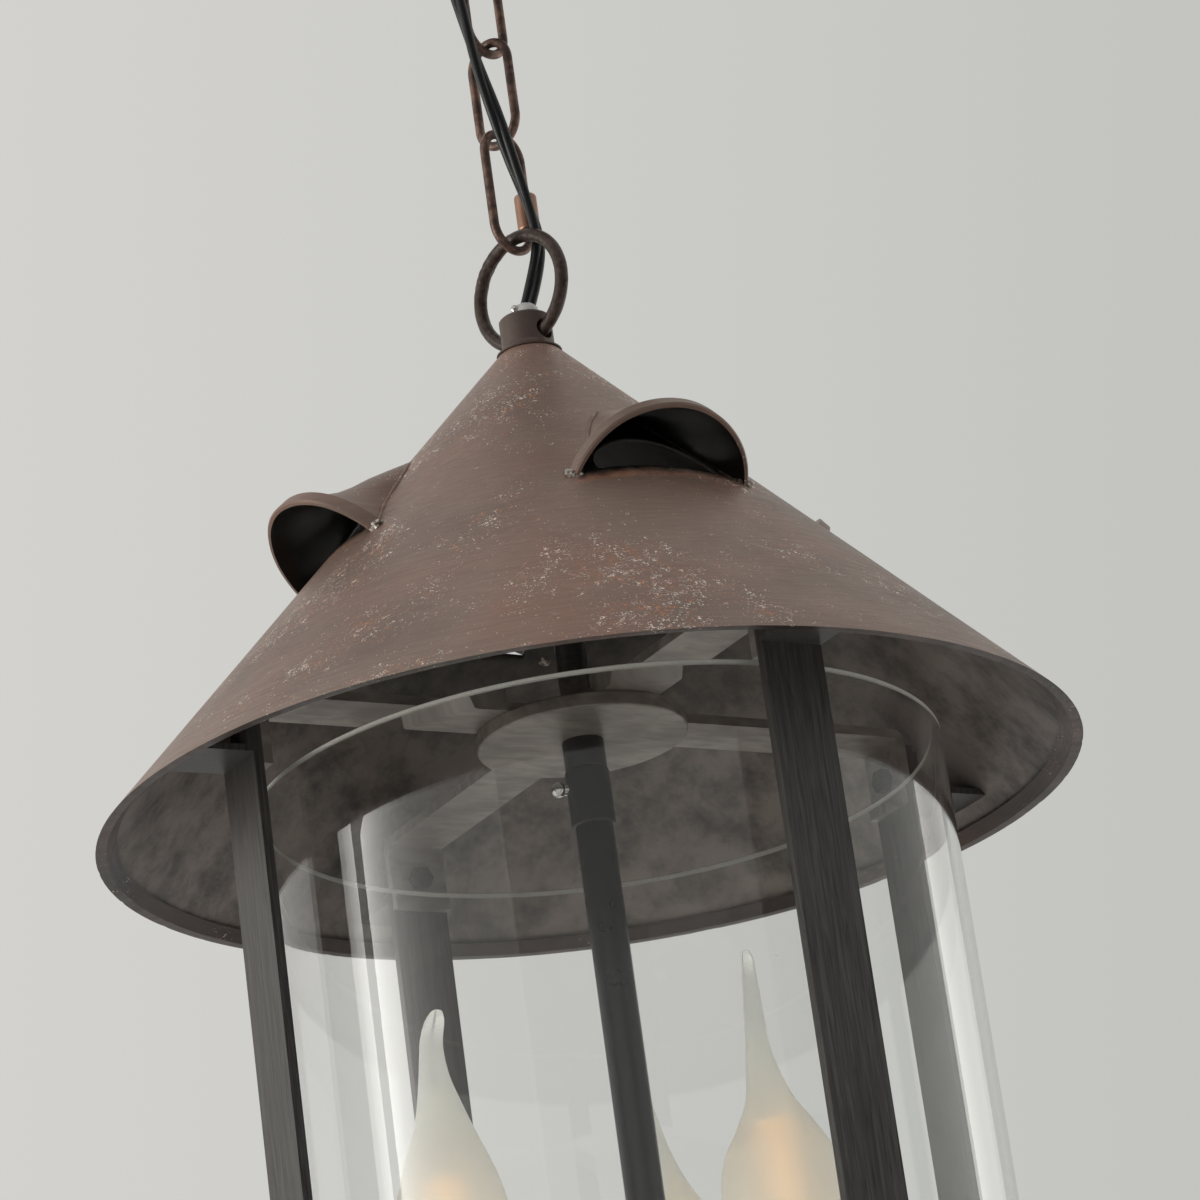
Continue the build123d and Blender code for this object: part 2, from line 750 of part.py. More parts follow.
# Their nuts, inside the strap ends
nut_at = bar_inner_radius - arm_thickness
with BuildPart() as bar_nuts:
    for turn in bar_turns:
        facing = Plane(origin=(0, 0, rim_z + bar_screw_height), z_dir=outward(turn))
        with BuildSketch(facing.offset(nut_at)):
            RegularPolygon(2.0 * bar_screw_radius, 6)
            Circle(bar_screw_radius + thread_fit, mode=Mode.SUBTRACT)
        extrude(amount=0.2 - bar_screw_end)
keep(bar_nuts, "bar_nuts")

# Glass cylinder, open at both ends, loose in its tray
with BuildPart() as glass:
    with BuildSketch(Plane.XY.offset(glass_bottom_z)):
        with Locations(glass_shift):
            Circle(glass_radius)
            Circle(glass_radius - glass_wall, mode=Mode.SUBTRACT)
    extrude(amount=glass_length)
    fillet(glass.edges().filter_by(GeomType.CIRCLE), 0.5)
keep(glass, "glass_cylinder")

# Glass tray, a pressed ring with a raised lip
lip_inner = glass_radius + tray_play
with BuildPart() as tray:
    with BuildSketch(upright(90)):
        with BuildLine():
            Polyline(
                (tray_opening_radius, tray_z),
                (lip_inner + tray_lip_wall, tray_z),
                (lip_inner + tray_lip_wall, tray_z + tray_lip_height),
                (lip_inner, tray_z + tray_lip_height),
                (lip_inner, tray_z + tray_floor),
                (tray_opening_radius + tray_lip_wall, tray_z + tray_floor),
                (tray_opening_radius + tray_lip_wall, tray_z + 0.5 * tray_lip_height),
                (tray_opening_radius, tray_z + 0.5 * tray_lip_height),
                close=True,
            )
        make_face()
    revolve(axis=Axis.Z)
    fillet(tray.edges().group_by(Axis.Z)[-1], 0.5)
keep(tray, "glass_tray")

# Lower hub disc, on the inner ends of the bars
with BuildPart() as base_hub:
    with BuildSketch(Plane.XY.offset(tray_z)):
        Circle(hub_radius)
    extrude(amount=base_hub_thickness)
    fillet(base_hub.edges().filter_by(GeomType.CIRCLE), 0.6)
    with BuildSketch(Plane.XY.offset(tray_z)):
        Circle(spindle_radius + thread_fit)
        with PolarLocations(hub_screw_circle, len(bar_turns)):
            Circle(bar_screw_radius + thread_fit)
    extrude(amount=base_hub_thickness, mode=Mode.SUBTRACT)
keep(base_hub, "base_hub")

# Four screws that hold the bars under the lower hub
with BuildPart() as hub_screws:
    with BuildSketch(Plane.XY.offset(tray_z - bar_thickness)):
        with PolarLocations(hub_screw_circle, len(bar_turns)):
            Circle(1.8 * bar_screw_radius)
    extrude(amount=-1.8)
    fillet(hub_screws.edges().group_by(Axis.Z)[0], 0.7)
    with BuildSketch(Plane.XY.offset(tray_z - bar_thickness)):
        with PolarLocations(hub_screw_circle, len(bar_turns)):
            Circle(bar_screw_radius)
    extrude(amount=bar_thickness + base_hub_thickness + 1.5)
keep(hub_screws, "hub_screws")

# Finial, a turned knob screwed on the spindle under the lower hub
finial_top_z = tray_z - 0.2
finial_neck = 6.0
ball_rise = sqrt(finial_radius**2 - finial_neck**2)
ball_z = finial_top_z - 9.0 - ball_rise
with BuildPart() as finial:
    with BuildSketch(upright(90)):
        with BuildLine():
            Line((0, finial_top_z), (8.5, finial_top_z))
            Line((8.5, finial_top_z), (8.5, finial_top_z - 5.0))
            Line((8.5, finial_top_z - 5.0), (finial_neck, finial_top_z - 7.0))
            Line((finial_neck, finial_top_z - 7.0), (finial_neck, ball_z + ball_rise))
            neck_foot = (finial_neck, ball_z + ball_rise)
            ThreePointArc(neck_foot, (finial_radius, ball_z), (0, ball_z - finial_radius))
            Line((0, ball_z - finial_radius), (0, finial_top_z))
        make_face()
    revolve(axis=Axis.Z)
    with BuildSketch(Plane.XY.offset(finial_top_z)):
        Circle(spindle_radius + running_fit)
    extrude(amount=spindle_end_z - finial_top_z - 0.5, mode=Mode.SUBTRACT)
keep(finial, "bottom_finial")

# Candle cluster, heights up from the lower hub; its hand-bent arms differ a little in turn and reach
arm_z = base_hub_top_z + spider_arm_rise
bend_top_z = arm_z + spider_bend_radius
pan_z = bend_top_z + spider_boss_height + 3.5
sleeve_top_z = pan_z + sleeve_height
holder_top_z = sleeve_top_z + holder_stands_out
holder_bottom_z = holder_top_z - holder_height
candle_seats = [spot(turn, reach) for turn, reach in zip(candle_turns, candle_reaches)]

# Spider: a hub on the rod with three bent tube arms
with BuildPart() as spider:
    with BuildSketch(Plane.XY.offset(base_hub_top_z)):
        Circle(spider_hub_radius)
    extrude(amount=spider_hub_height)
    fillet(spider.edges().filter_by(GeomType.CIRCLE), 3.0)
    for turn, reach, seat in zip(candle_turns, candle_reaches, candle_seats):
        bend_at = reach - spider_bend_radius
        with BuildLine(upright(turn)) as arm_run:
            Line((spider_hub_radius - 4.0, arm_z), (bend_at, arm_z))
            bend_side = spider_bend_radius * sin(radians(45))
            bend_drop = spider_bend_radius - spider_bend_radius * cos(radians(45))
            bend_middle = (bend_at + bend_side, arm_z + bend_drop)
            ThreePointArc((bend_at, arm_z), bend_middle, (reach, bend_top_z))
            Line((reach, bend_top_z), (reach, holder_bottom_z))
        with BuildSketch(Plane(origin=arm_run.line @ 0, z_dir=arm_run.line % 0)):
            Circle(spider_arm_radius)
        sweep()
        with BuildSketch(Plane.XY.offset(pan_z)):
            with Locations((seat.X, seat.Y)):
                Circle(spider_boss_radius)
        extrude(amount=-spider_boss_height)
    with BuildSketch(Plane.XY.offset(base_hub_top_z)):
        Circle(rod_radius + thread_fit)
    extrude(amount=spider_hub_height, mode=Mode.SUBTRACT)
keep(spider, "candle_spider")


# Drip pan under each candle
def drip_pan(seat):
    hole = spider_arm_radius + thread_fit
    flat = 0.6 * pan_radius
    edge_z = pan_z + pan_depth
    floor_z = pan_z + pan_sheet
    swell_z = pan_z + 0.3 * pan_depth
    with BuildPart() as pan:
        with BuildSketch(upright(90, (seat.X, seat.Y))):
            with BuildLine():
                Line((hole, pan_z), (flat, pan_z))
                ThreePointArc((flat, pan_z), (0.88 * pan_radius, swell_z), (pan_radius, edge_z))
                Line((pan_radius, edge_z), (pan_radius - pan_sheet, edge_z))
                ThreePointArc(
                    (pan_radius - pan_sheet, edge_z),
                    (0.86 * pan_radius - 0.6 * pan_sheet, swell_z + pan_sheet),
                    (flat, floor_z),
                )
                Line((flat, floor_z), (hole, floor_z))
                Line((hole, floor_z), (hole, pan_z))
            make_face()
        revolve(axis=Axis((seat.X, seat.Y, 0), (0, 0, 1)))
    return pan


# Candle sleeve, a plain tube over the lampholder
def candle_sleeve(seat):
    with BuildPart() as tube:
        with BuildSketch(Plane.XY.offset(pan_z + pan_sheet)):
            with Locations((seat.X, seat.Y)):
                Circle(sleeve_outer)
                Circle(sleeve_outer - sleeve_wall, mode=Mode.SUBTRACT)
        extrude(amount=sleeve_height - pan_sheet)
    return tube


# Lampholder on top of the spider's arm
def lampholder(seat):
    with BuildPart() as holder:
        with BuildSketch(Plane.XY.offset(holder_bottom_z)):
            with Locations((seat.X, seat.Y)):
                Circle(holder_radius)
        extrude(amount=holder_height)
        with BuildSketch(Plane.XY.offset(holder_top_z)):
            with Locations((seat.X, seat.Y)):
                Circle(bulb_base_radius + running_fit)
        extrude(amount=-(bulb_base_length + 3.0), mode=Mode.SUBTRACT)
    return holder


for number, seat in enumerate(candle_seats):
    keep(drip_pan(seat), f"drip_pan_{number + 1}")
    keep(candle_sleeve(seat), f"candle_sleeve_{number + 1}")
    keep(lampholder(seat), f"lampholder_{number + 1}")

# Bulb shape: share of the glass length from its foot, share of the widest radius, sideways bend
bulb_stations = (
    (0.00, 0.46, 0.0),
    (0.05, 0.57, 0.0),
    (0.14, 0.85, 0.0),
    (0.26, 1.00, 0.0),
    (0.38, 0.90, 0.0),
    (0.47, 0.63, -0.1),
    (0.55, 0.38, -0.4),
    (0.66, 0.23, -0.9),
    (0.80, 0.145, -0.8),
    (0.92, 0.115, 0.9),
    (1.00, 0.085, 3.2),
)


# Bulb glass: a candle bulb with a drawn-out, slightly bent tip
bulb_foot_z = holder_top_z + bulb_skirt_height


def bulb_glass(seat, tip_turn):
    lean = outward(tip_turn)
    with BuildPart() as bulb:
        for inset, mode in ((0.0, Mode.ADD), (bulb_glass_wall, Mode.SUBTRACT)):
            for share, width, bend in bulb_stations:
                radius = bulb_widest_radius * width - inset
                at = (seat.X + lean.X * bend, seat.Y + lean.Y * bend)
                if radius > bulb_glass_wall:
                    with BuildSketch(Plane.XY.offset(bulb_foot_z + share * bulb_glass_length)):
                        with Locations(at):
                            Circle(radius)
            loft(mode=mode)
    return bulb


# Bulb base: a plated screw shell with a skirt and a round contact
def bulb_base(seat):
    shell_bottom_z = holder_top_z - bulb_base_length + 4.0
    foot_radius = bulb_widest_radius * bulb_stations[0][1]
    with BuildPart() as base:
        with BuildSketch(upright(90, (seat.X, seat.Y))):
            with BuildLine():
                Polyline(
                    (0, bulb_foot_z),
                    (foot_radius, bulb_foot_z),
                    (bulb_skirt_radius, bulb_foot_z - 0.6),
                    (bulb_skirt_radius, holder_top_z + 0.4),
                    (bulb_base_radius, holder_top_z + 0.2),
                    (bulb_base_radius, shell_bottom_z),
                    (3.4, shell_bottom_z - 2.6),
                    (2.2, shell_bottom_z - 4.0),
                    (0, shell_bottom_z - 4.0),
                    close=True,
                )
            make_face()
        revolve(axis=Axis((seat.X, seat.Y, 0), (0, 0, 1)))
    return base


# Filaments: a glass stem with four upright sticks joined at both ends
def bulb_filament(seat):
    stick_bottom_z = bulb_foot_z + 13.0
    stick_top_z = bulb_foot_z + 46.0
    here = (seat.X, seat.Y)
    with BuildPart() as lit:
        with BuildSketch(Plane.XY.offset(bulb_foot_z)):
            with Locations(here):
                Circle(5.2)
        with BuildSketch(Plane.XY.offset(bulb_foot_z + 6.0)):
            with Locations(here):
                Circle(3.2)
        with BuildSketch(Plane.XY.offset(stick_bottom_z)):
            with Locations(here):
                Circle(2.2)
        loft()
        with BuildSketch(Plane.XY.offset(stick_bottom_z - 1.4)):
            with Locations(here):
                Circle(filament_circle + filament_radius + filament_rim)
        extrude(amount=1.4)
        with BuildSketch(Plane.XY.offset(stick_bottom_z)):
            with Locations(here):
                with PolarLocations(filament_circle, 4, start_angle=45):
                    Circle(filament_radius)
        extrude(amount=stick_top_z - stick_bottom_z)
        with BuildSketch(Plane.XY.offset(stick_top_z)):
            with Locations(here):
                Circle(filament_circle + filament_radius + filament_rim)
                Circle(filament_circle - filament_radius - filament_rim, mode=Mode.SUBTRACT)
        extrude(amount=0.8)
    return lit


for number, seat in enumerate(candle_seats):
    keep(bulb_glass(seat, bulb_tip_turns[number]), f"bulb_glass_{number + 1}")
    keep(bulb_base(seat), f"bulb_base_{number + 1}")
    keep(bulb_filament(seat), f"bulb_filament_{number + 1}")
    print("candle", number + 1, "axis", round(seat.X, 4), round(seat.Y, 4))

print("rim height", round(rim_z, 2), "lowest point", round(ball_z - finial_radius, 2))
print("ring crossing height", round(ring_crossing_z, 3), "link 1 foot", round(link_1_bottom_z, 3))
print("sleeve axis", round(sleeve_place.X, 4), round(sleeve_place.Y, 4))
print("coupler screw height", round(coupler_screw_z, 3))
print("glass", round(glass_bottom_z, 2), round(glass_top_z, 2), "tray", round(tray_z, 2))
print("holder top", round(holder_top_z, 2), "pan", round(pan_z, 2))
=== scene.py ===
import math

import bmesh
import bpy
from mathutils import Matrix, Vector, noise


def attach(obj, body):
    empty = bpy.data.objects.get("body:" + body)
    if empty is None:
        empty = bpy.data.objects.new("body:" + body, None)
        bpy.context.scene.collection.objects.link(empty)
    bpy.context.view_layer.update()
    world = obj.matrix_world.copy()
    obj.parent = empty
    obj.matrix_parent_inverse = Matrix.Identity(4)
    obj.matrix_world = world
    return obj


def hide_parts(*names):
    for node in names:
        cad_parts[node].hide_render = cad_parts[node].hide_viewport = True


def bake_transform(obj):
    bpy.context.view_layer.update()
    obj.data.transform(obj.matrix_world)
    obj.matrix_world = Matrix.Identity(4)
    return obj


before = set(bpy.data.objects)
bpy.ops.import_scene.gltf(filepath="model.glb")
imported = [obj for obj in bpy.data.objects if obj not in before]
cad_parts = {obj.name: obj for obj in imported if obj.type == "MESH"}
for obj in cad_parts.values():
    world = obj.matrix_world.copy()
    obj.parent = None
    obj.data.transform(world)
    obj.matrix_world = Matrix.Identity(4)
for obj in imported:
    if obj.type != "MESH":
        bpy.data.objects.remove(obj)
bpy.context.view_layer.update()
scene = bpy.context.scene
scene.view_settings.view_transform = "Standard"

# Camera
# It stands below the roof's rim, in front and to the left, and looks up about twenty degrees.
# Its place, its three directions and its lens were fitted to the photograph.
film_width = 36.0
focal_length = 138.0
camera_at = Vector((-0.70123, -1.12220, -0.78079))
to_right = Vector((0.8616994, -0.4904927, -0.1299660))
to_top = Vector((-0.0706660, -0.3696374, 0.9264850))
ahead = Vector((0.5024744, 0.7891674, 0.3531774))
camera_data = bpy.data.cameras.new("camera")
camera_data.sensor_width = film_width
camera_data.lens = focal_length
camera = bpy.data.objects.new("camera", camera_data)
scene.collection.objects.link(camera)
camera.matrix_world = Matrix(
    (
        (to_right.x, to_top.x, -ahead.x, camera_at.x),
        (to_right.y, to_top.y, -ahead.y, camera_at.y),
        (to_right.z, to_top.z, -ahead.z, camera_at.z),
        (0, 0, 0, 1),
    )
)
scene.camera = camera

# Supply cord
# A black twin flex with a glossy PVC sheath, twisted loosely as it hangs beside the chain.
# It leaves the canopy's grommet and goes down through the ring into the neck's bushing.
cord_route_mm = (
    (-19.5, -5.2, -30.6),
    (-18.2, -5.6, -47.0),
    (-14.6, -6.2, -63.0),
    (-12.1, -6.9, -80.5),
    (-9.4, -7.4, -99.0),
    (-5.6, -8.4, -117.0),
    (-1.9, -8.3, -133.0),
    (3.4, -5.7, -145.5),
    (7.2, -3.9, -157.0),
    (4.6, -2.9, -169.5),
    (0.2, -0.8, -182.7),
)
core_offset = 0.00095
core_radius = 0.00155
twist_length = 0.118
twist_start = 0.5


def linear(colour):
    """Linear RGBA of an sRGB hex colour."""
    parts = [int(colour[i : i + 2], 16) / 255 for i in (1, 3, 5)]
    return (*[c / 12.92 if c <= 0.04045 else ((c + 0.055) / 1.055) ** 2.4 for c in parts], 1.0)


def add(tree, kind, settings=None, links=None):
    """A node of a kind, with its settings and the sockets that feed it."""
    node = tree.nodes.new(kind)
    for key, value in (settings or {}).items():
        if isinstance(key, str) and hasattr(node, key):
            setattr(node, key, value)
        else:
            node.inputs[key].default_value = value
    for key, source in (links or {}).items():
        tree.links.new(source, node.inputs[key])
    return node


def new_material(name):
    """An empty material and its node tree."""
    made = bpy.data.materials.new(name)
    made.use_nodes = True
    made.node_tree.nodes.clear()
    return made, made.node_tree


def finish_material(tree, settings, links):
    """The material's one surface shader, joined to its output."""
    shader = add(tree, "ShaderNodeBsdfPrincipled", settings, links)
    add(tree, "ShaderNodeOutputMaterial", None, {"Surface": shader.outputs[0]})


def angles(count):
    """Equal steps round a full circle."""
    return [2 * math.pi * step / count for step in range(count)]


def ringed(rings, wrap=False):
    """Vertices and faces of a skin over equal rings, closed at both ends unless it wraps round."""
    count = len(rings[0])
    vertices = [tuple(point) for ring in rings for point in ring]
    faces = []
    for i in range(len(rings) if wrap else len(rings) - 1):
        a = i * count
        b = (i + 1) % len(rings) * count
        for j in range(count):
            k = (j + 1) % count
            faces.append((a + j, a + k, b + k, b + j))
    if not wrap:
        faces.append(tuple(range(count)))
        faces.append(tuple(range(len(vertices) - count, len(vertices))))
    return vertices, faces


def piece(name, skin, materials, sharp=40):
    """A closed mesh object with smooth faces and sharp edges above an angle."""
    mesh = bpy.data.meshes.new(name)
    mesh.from_pydata(skin[0], [], skin[1])
    work = bmesh.new()
    work.from_mesh(mesh)
    bmesh.ops.recalc_face_normals(work, faces=work.faces)
    work.to_mesh(mesh)
    work.free()
    mesh.shade_smooth()
    mesh.set_sharp_from_angle(angle=math.radians(sharp))
    for material in materials:
        mesh.materials.append(material)
    made = bpy.data.objects.new(name, mesh)
    scene.collection.objects.link(made)
    return made


def swept(line, section):
    """Rings along a line: section gives the outline at a share of the line's length."""
    total = sum((b - a).length for a, b in zip(line, line[1:]))
    side = Vector((0, 1, 0))
    rings = []
    done = 0.0
    for i, point in enumerate(line):
        before = line[max(i - 1, 0)]
        after = line[min(i + 1, len(line) - 1)]
        heading = (after - before).normalized()
        side = (side - heading * side.dot(heading)).normalized()
        other = heading.cross(side)
        if i:
            done += (point - line[i - 1]).length
        rings.append([point + side * a + other * b for a, b in section(done / total)])
    return ringed(rings)


route = bpy.data.curves.new("cord_route", "CURVE")
route.dimensions = "3D"
route_line = route.splines.new("NURBS")
route_line.points.add(len(cord_route_mm) - 1)
for control, (x, y, z) in zip(route_line.points, cord_route_mm):
    control.co = (x / 1000, y / 1000, z / 1000, 1)
route_line.order_u = 3
route_line.use_endpoint_u = True
route_line.resolution_u = 14
route_holder = bpy.data.objects.new("cord_route", route)
route_mesh = bpy.data.meshes.new_from_object(route_holder)
cord_line = [vertex.co.copy() for vertex in route_mesh.vertices]
bpy.data.objects.remove(route_holder)
cord_length = sum((b - a).length for a, b in zip(cord_line, cord_line[1:]))


def twin_section(share):
    """The two cores side by side, turned further along the cord."""
    turn = 2 * math.pi * share * cord_length / twist_length + twist_start
    outline = []
    for angle in angles(28):
        across = core_offset * math.sin(angle)
        reach = core_offset * abs(math.cos(angle)) + math.sqrt(core_radius**2 - across**2)
        outline.append((reach * math.cos(angle + turn), reach * math.sin(angle + turn)))
    return outline


# Black PVC sheath: the extruded skin is uneven at about 2 mm, which breaks up its highlights.
sheath, tree = new_material("black_pvc_sheath")
place = add(tree, "ShaderNodeTexCoord")
skin_noise = add(
    tree,
    "ShaderNodeTexNoise",
    {"Scale": 420.0, "Detail": 3.0},
    {"Vector": place.outputs["Object"]},
)
skin_bump = add(
    tree,
    "ShaderNodeBump",
    {"Strength": 0.25, "Distance": 0.0002},
    {"Height": skin_noise.outputs[0]},
)
shine = add(tree, "ShaderNodeMapRange", {"To Min": 0.20, "To Max": 0.42}, {"Value": skin_noise.outputs[0]})
finish_material(
    tree,
    {"Base Color": linear("#17181A"), "IOR": 1.5},
    {"Roughness": shine.outputs[0], "Normal": skin_bump.outputs[0]},
)
cord = piece("supply_cord", swept(cord_line, twin_section), [sheath], 60)
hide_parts("power_cord")
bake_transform(cord)


# Antique copper lacquer
# Steel sprayed brown over a copper ground, dragged by hand with a dry brush and rubbed through.
# The eye gets fine strokes around the turned shapes, soft red and grey clouds, and pale chips.
chip_copper = "#C27F5A"
chip_pale = "#F0E2D4"
scraped_copper = "#C08A6E"
# Near-black of the painted shade under the hoods.
painted_shade_black = "#141211"


def antique_copper(name, ground, shade, red, chip_share, gloss, masks=False):
    """The lacquer in three tones, with more or fewer chips; masks adds the roof's scrapes and the painted
    shade under its hoods.
    """
    made, tree = new_material(name)
    place = add(tree, "ShaderNodeTexCoord")
    spot = place.outputs["Object"]
    parts = add(tree, "ShaderNodeSeparateXYZ", None, {0: spot})
    flat = add(tree, "ShaderNodeCombineXYZ", None, {0: parts.outputs[0], 1: parts.outputs[1]})
    unit = add(tree, "ShaderNodeVectorMath", {"operation": "NORMALIZE"}, {0: flat.outputs[0]})
    wide = add(tree, "ShaderNodeVectorMath", {"operation": "SCALE", "Scale": 11.0}, {0: unit.outputs[0]})
    # A stroke is about 12 mm long and 0.7 mm wide.
    rise = add(tree, "ShaderNodeMath", {"operation": "MULTIPLY", 1: 1400.0}, {0: parts.outputs[2]})
    upward = add(tree, "ShaderNodeCombineXYZ", None, {2: rise.outputs[0]})
    stroke_at = add(tree, "ShaderNodeVectorMath", None, {0: wide.outputs[0], 1: upward.outputs[0]})
    strokes = add(
        tree,
        "ShaderNodeTexNoise",
        {"Scale": 1.0, "Detail": 5.0, "Roughness": 0.7, "Distortion": 0.6},
        {"Vector": stroke_at.outputs[0]},
    )
    # Grey clouds are about 80 mm across, and red ones 50 mm.
    cloud = add(
        tree,
        "ShaderNodeTexNoise",
        {"Scale": 13.0, "Detail": 4.0, "Roughness": 0.55},
        {"Vector": spot},
    )
    red_cloud = add(
        tree,
        "ShaderNodeTexNoise",
        {"Scale": 21.0, "Detail": 5.0, "Roughness": 0.6},
        {"Vector": spot},
    )
    cloud_mask = add(
        tree,
        "ShaderNodeMapRange",
        {"From Min": 0.40, "From Max": 0.66},
        {"Value": cloud.outputs[0]},
    )
    red_mask = add(
        tree,
        "ShaderNodeMapRange",
        {"From Min": 0.46, "From Max": 0.72, "To Max": 0.6},
        {"Value": red_cloud.outputs[0]},
    )
    stroke_mask = add(
        tree,
        "ShaderNodeMapRange",
        {"From Min": 0.34, "From Max": 0.66, "To Min": 0.0, "To Max": 0.42},
        {"Value": strokes.outputs[0]},
    )
    ground_mix = add(
        tree,
        "ShaderNodeMix",
        {"data_type": "RGBA", 6: linear(ground), 7: linear(shade)},
        {0: cloud_mask.outputs[0]},
    )
    red_mix = add(
        tree,
        "ShaderNodeMix",
        {"data_type": "RGBA", 7: linear(red)},
        {0: red_mask.outputs[0], 6: ground_mix.outputs[2]},
    )
    stroke_mix = add(
        tree,
        "ShaderNodeMix",
        {"data_type": "RGBA", 7: linear(shade)},
        {0: stroke_mask.outputs[0], 6: red_mix.outputs[2]},
    )
    # Chips are 0.5 to 2 mm and gather in patches a few centimetres across.
    patch = add(
        tree,
        "ShaderNodeTexNoise",
        {"Scale": 27.0, "Detail": 4.0, "Roughness": 0.62},
        {"Vector": spot},
    )
    speck = add(
        tree,
        "ShaderNodeTexNoise",
        {"Scale": 900.0, "Detail": 1.5, "Roughness": 0.5, "Distortion": 1.7},
        {"Vector": spot},
    )
    patch_mask = add(
        tree,
        "ShaderNodeMapRange",
        {"From Min": 0.44, "From Max": 0.62, "To Max": 0.13},
        {"Value": patch.outputs[0]},
    )
    speck_sum = add(tree, "ShaderNodeMath", None, {0: speck.outputs[0], 1: patch_mask.outputs[0]})
    if masks:
        rubbed = add(tree, "ShaderNodeAttribute", {"attribute_name": "rubbed"})
        rub = add(tree, "ShaderNodeMath", {"operation": "MULTIPLY", 1: 0.1}, {0: rubbed.outputs["Fac"]})
        speck_sum = add(tree, "ShaderNodeMath", None, {0: speck_sum.outputs[0], 1: rub.outputs[0]})
    chip = add(
        tree,
        "ShaderNodeMapRange",
        {"From Min": 0.80 - chip_share, "From Max": 0.815 - chip_share},
        {"Value": speck_sum.outputs[0]},
    )
    chip_tone = add(tree, "ShaderNodeTexNoise", {"Scale": 230.0, "Detail": 2.0}, {"Vector": spot})
    chip_side = add(
        tree,
        "ShaderNodeMapRange",
        {"From Min": 0.42, "From Max": 0.58},
        {"Value": chip_tone.outputs[0]},
    )
    chip_colour = add(
        tree,
        "ShaderNodeMix",
        {"data_type": "RGBA", 6: linear(chip_copper), 7: linear(chip_pale)},
        {0: chip_side.outputs[0]},
    )
    colour = add(
        tree,
        "ShaderNodeMix",
        {"data_type": "RGBA"},
        {0: chip.outputs[0], 6: stroke_mix.outputs[2], 7: chip_colour.outputs[2]},
    )
    if masks:
        # Along each vent's sill the copper ground is scratched free in strokes of about 8 mm.
        scrape = add(
            tree,
            "ShaderNodeTexNoise",
            {"Scale": 2.1, "Detail": 5.0, "Roughness": 0.7, "Distortion": 1.0},
            {"Vector": stroke_at.outputs[0]},
        )
        scrape_sum = add(
            tree,
            "ShaderNodeMath",
            {"operation": "MULTIPLY_ADD", 1: 0.40},
            {0: rubbed.outputs["Fac"], 2: scrape.outputs[0]},
        )
        scrape_mask = add(
            tree,
            "ShaderNodeMapRange",
            {"From Min": 0.74, "From Max": 0.82, "To Max": 0.85},
            {"Value": scrape_sum.outputs[0]},
        )
        colour = add(
            tree,
            "ShaderNodeMix",
            {"data_type": "RGBA", 7: linear(scraped_copper)},
            {0: scrape_mask.outputs[0], 6: colour.outputs[2]},
        )
        # Painted shade: the sheet under each hood is painted near-black, where shade falls in the hollow.
        hood_shade = add(tree, "ShaderNodeAttribute", {"attribute_name": "hood_shade"})
        colour = add(
            tree,
            "ShaderNodeMix",
            {"data_type": "RGBA", 7: linear(painted_shade_black)},
            {0: hood_shade.outputs["Fac"], 6: colour.outputs[2]},
        )
    sheen = add(
        tree,
        "ShaderNodeMapRange",
        {"From Min": 0.3, "From Max": 0.7, "To Min": gloss - 0.07, "To Max": gloss + 0.10},
        {"Value": strokes.outputs[0]},
    )
    relief = add(tree, "ShaderNodeMath", {"operation": "MULTIPLY", 1: -1.4}, {0: chip.outputs[0]})
    height = add(tree, "ShaderNodeMath", None, {0: relief.outputs[0], 1: strokes.outputs[0]})
    bump = add(
        tree,
        "ShaderNodeBump",
        {"Strength": 0.35, "Distance": 0.00012},
        {"Height": height.outputs[0]},
    )
    finish_material(
        tree,
        {"Metallic": 0.25},
        {"Base Color": colour.outputs[2], "Roughness": sheen.outputs[0], "Normal": bump.outputs[0]},
    )
    return made


def paint(material, *names):
    """A CAD node takes a material."""
    for name in names:
        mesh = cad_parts[name].data
        mesh.materials.clear()
        mesh.materials.append(material)


# Canopy, its loop and the fixings at the ceiling
# A spun steel bowl in the roof's brown lacquer, held by the loop's nut on a threaded nipple.
# The strap behind it is screwed to the ceiling, and the cord leaves through a rubber grommet.
canopy_copper = antique_copper("antique_copper_canopy", "#77604F", "#57463B", "#87604F", 0.0, 0.42)
paint(canopy_copper, "ceiling_canopy", "canopy_loop")


def finish_marked(tree, metallic, colour, marks, gloss, relief):
    """The surface of a marked finish: its marks vary the gloss and stand a little proud."""
    sheen = add(
        tree,
        "ShaderNodeMapRange",
        {"To Min": gloss[0], "To Max": gloss[1]},
        {"Value": marks.outputs[0]},
    )
    bump = add(
        tree,
        "ShaderNodeBump",
        {"Strength": relief[0], "Distance": relief[1]},
        {"Height": marks.outputs[0]},
    )
    surface = {"Base Color": colour.outputs[2], "Roughness": sheen.outputs[0], "Normal": bump.outputs[0]}
    finish_material(tree, {"Metallic": metallic}, surface)


# Zinc plate on steel: the rolled sheet's grain shows as fine lines about 1 mm apart.
def plated_steel(name, pale, dark, grain, gloss):
    """Bare or plated steel in two close tones, with fine lines along the grain."""
    made, tree = new_material(name)
    place = add(tree, "ShaderNodeTexCoord")
    stretch = add(tree, "ShaderNodeMapping", {"Scale": grain}, {"Vector": place.outputs["Object"]})
    lines = add(tree, "ShaderNodeTexNoise", {"Scale": 1.0, "Detail": 4.0}, {"Vector": stretch.outputs[0]})
    colour = add(
        tree,
        "ShaderNodeMix",
        {"data_type": "RGBA", 6: linear(pale), 7: linear(dark)},
        {0: lines.outputs[0]},
    )
    finish_marked(tree, 1.0, colour, lines, (gloss, gloss + 0.18), (0.2, 0.0001))
    return made


zinc = plated_steel("zinc_plated_steel", "#B9B9B4", "#8C8E8C", (60, 900, 900), 0.28)
paint(zinc, "mounting_strap", "threaded_nipple")


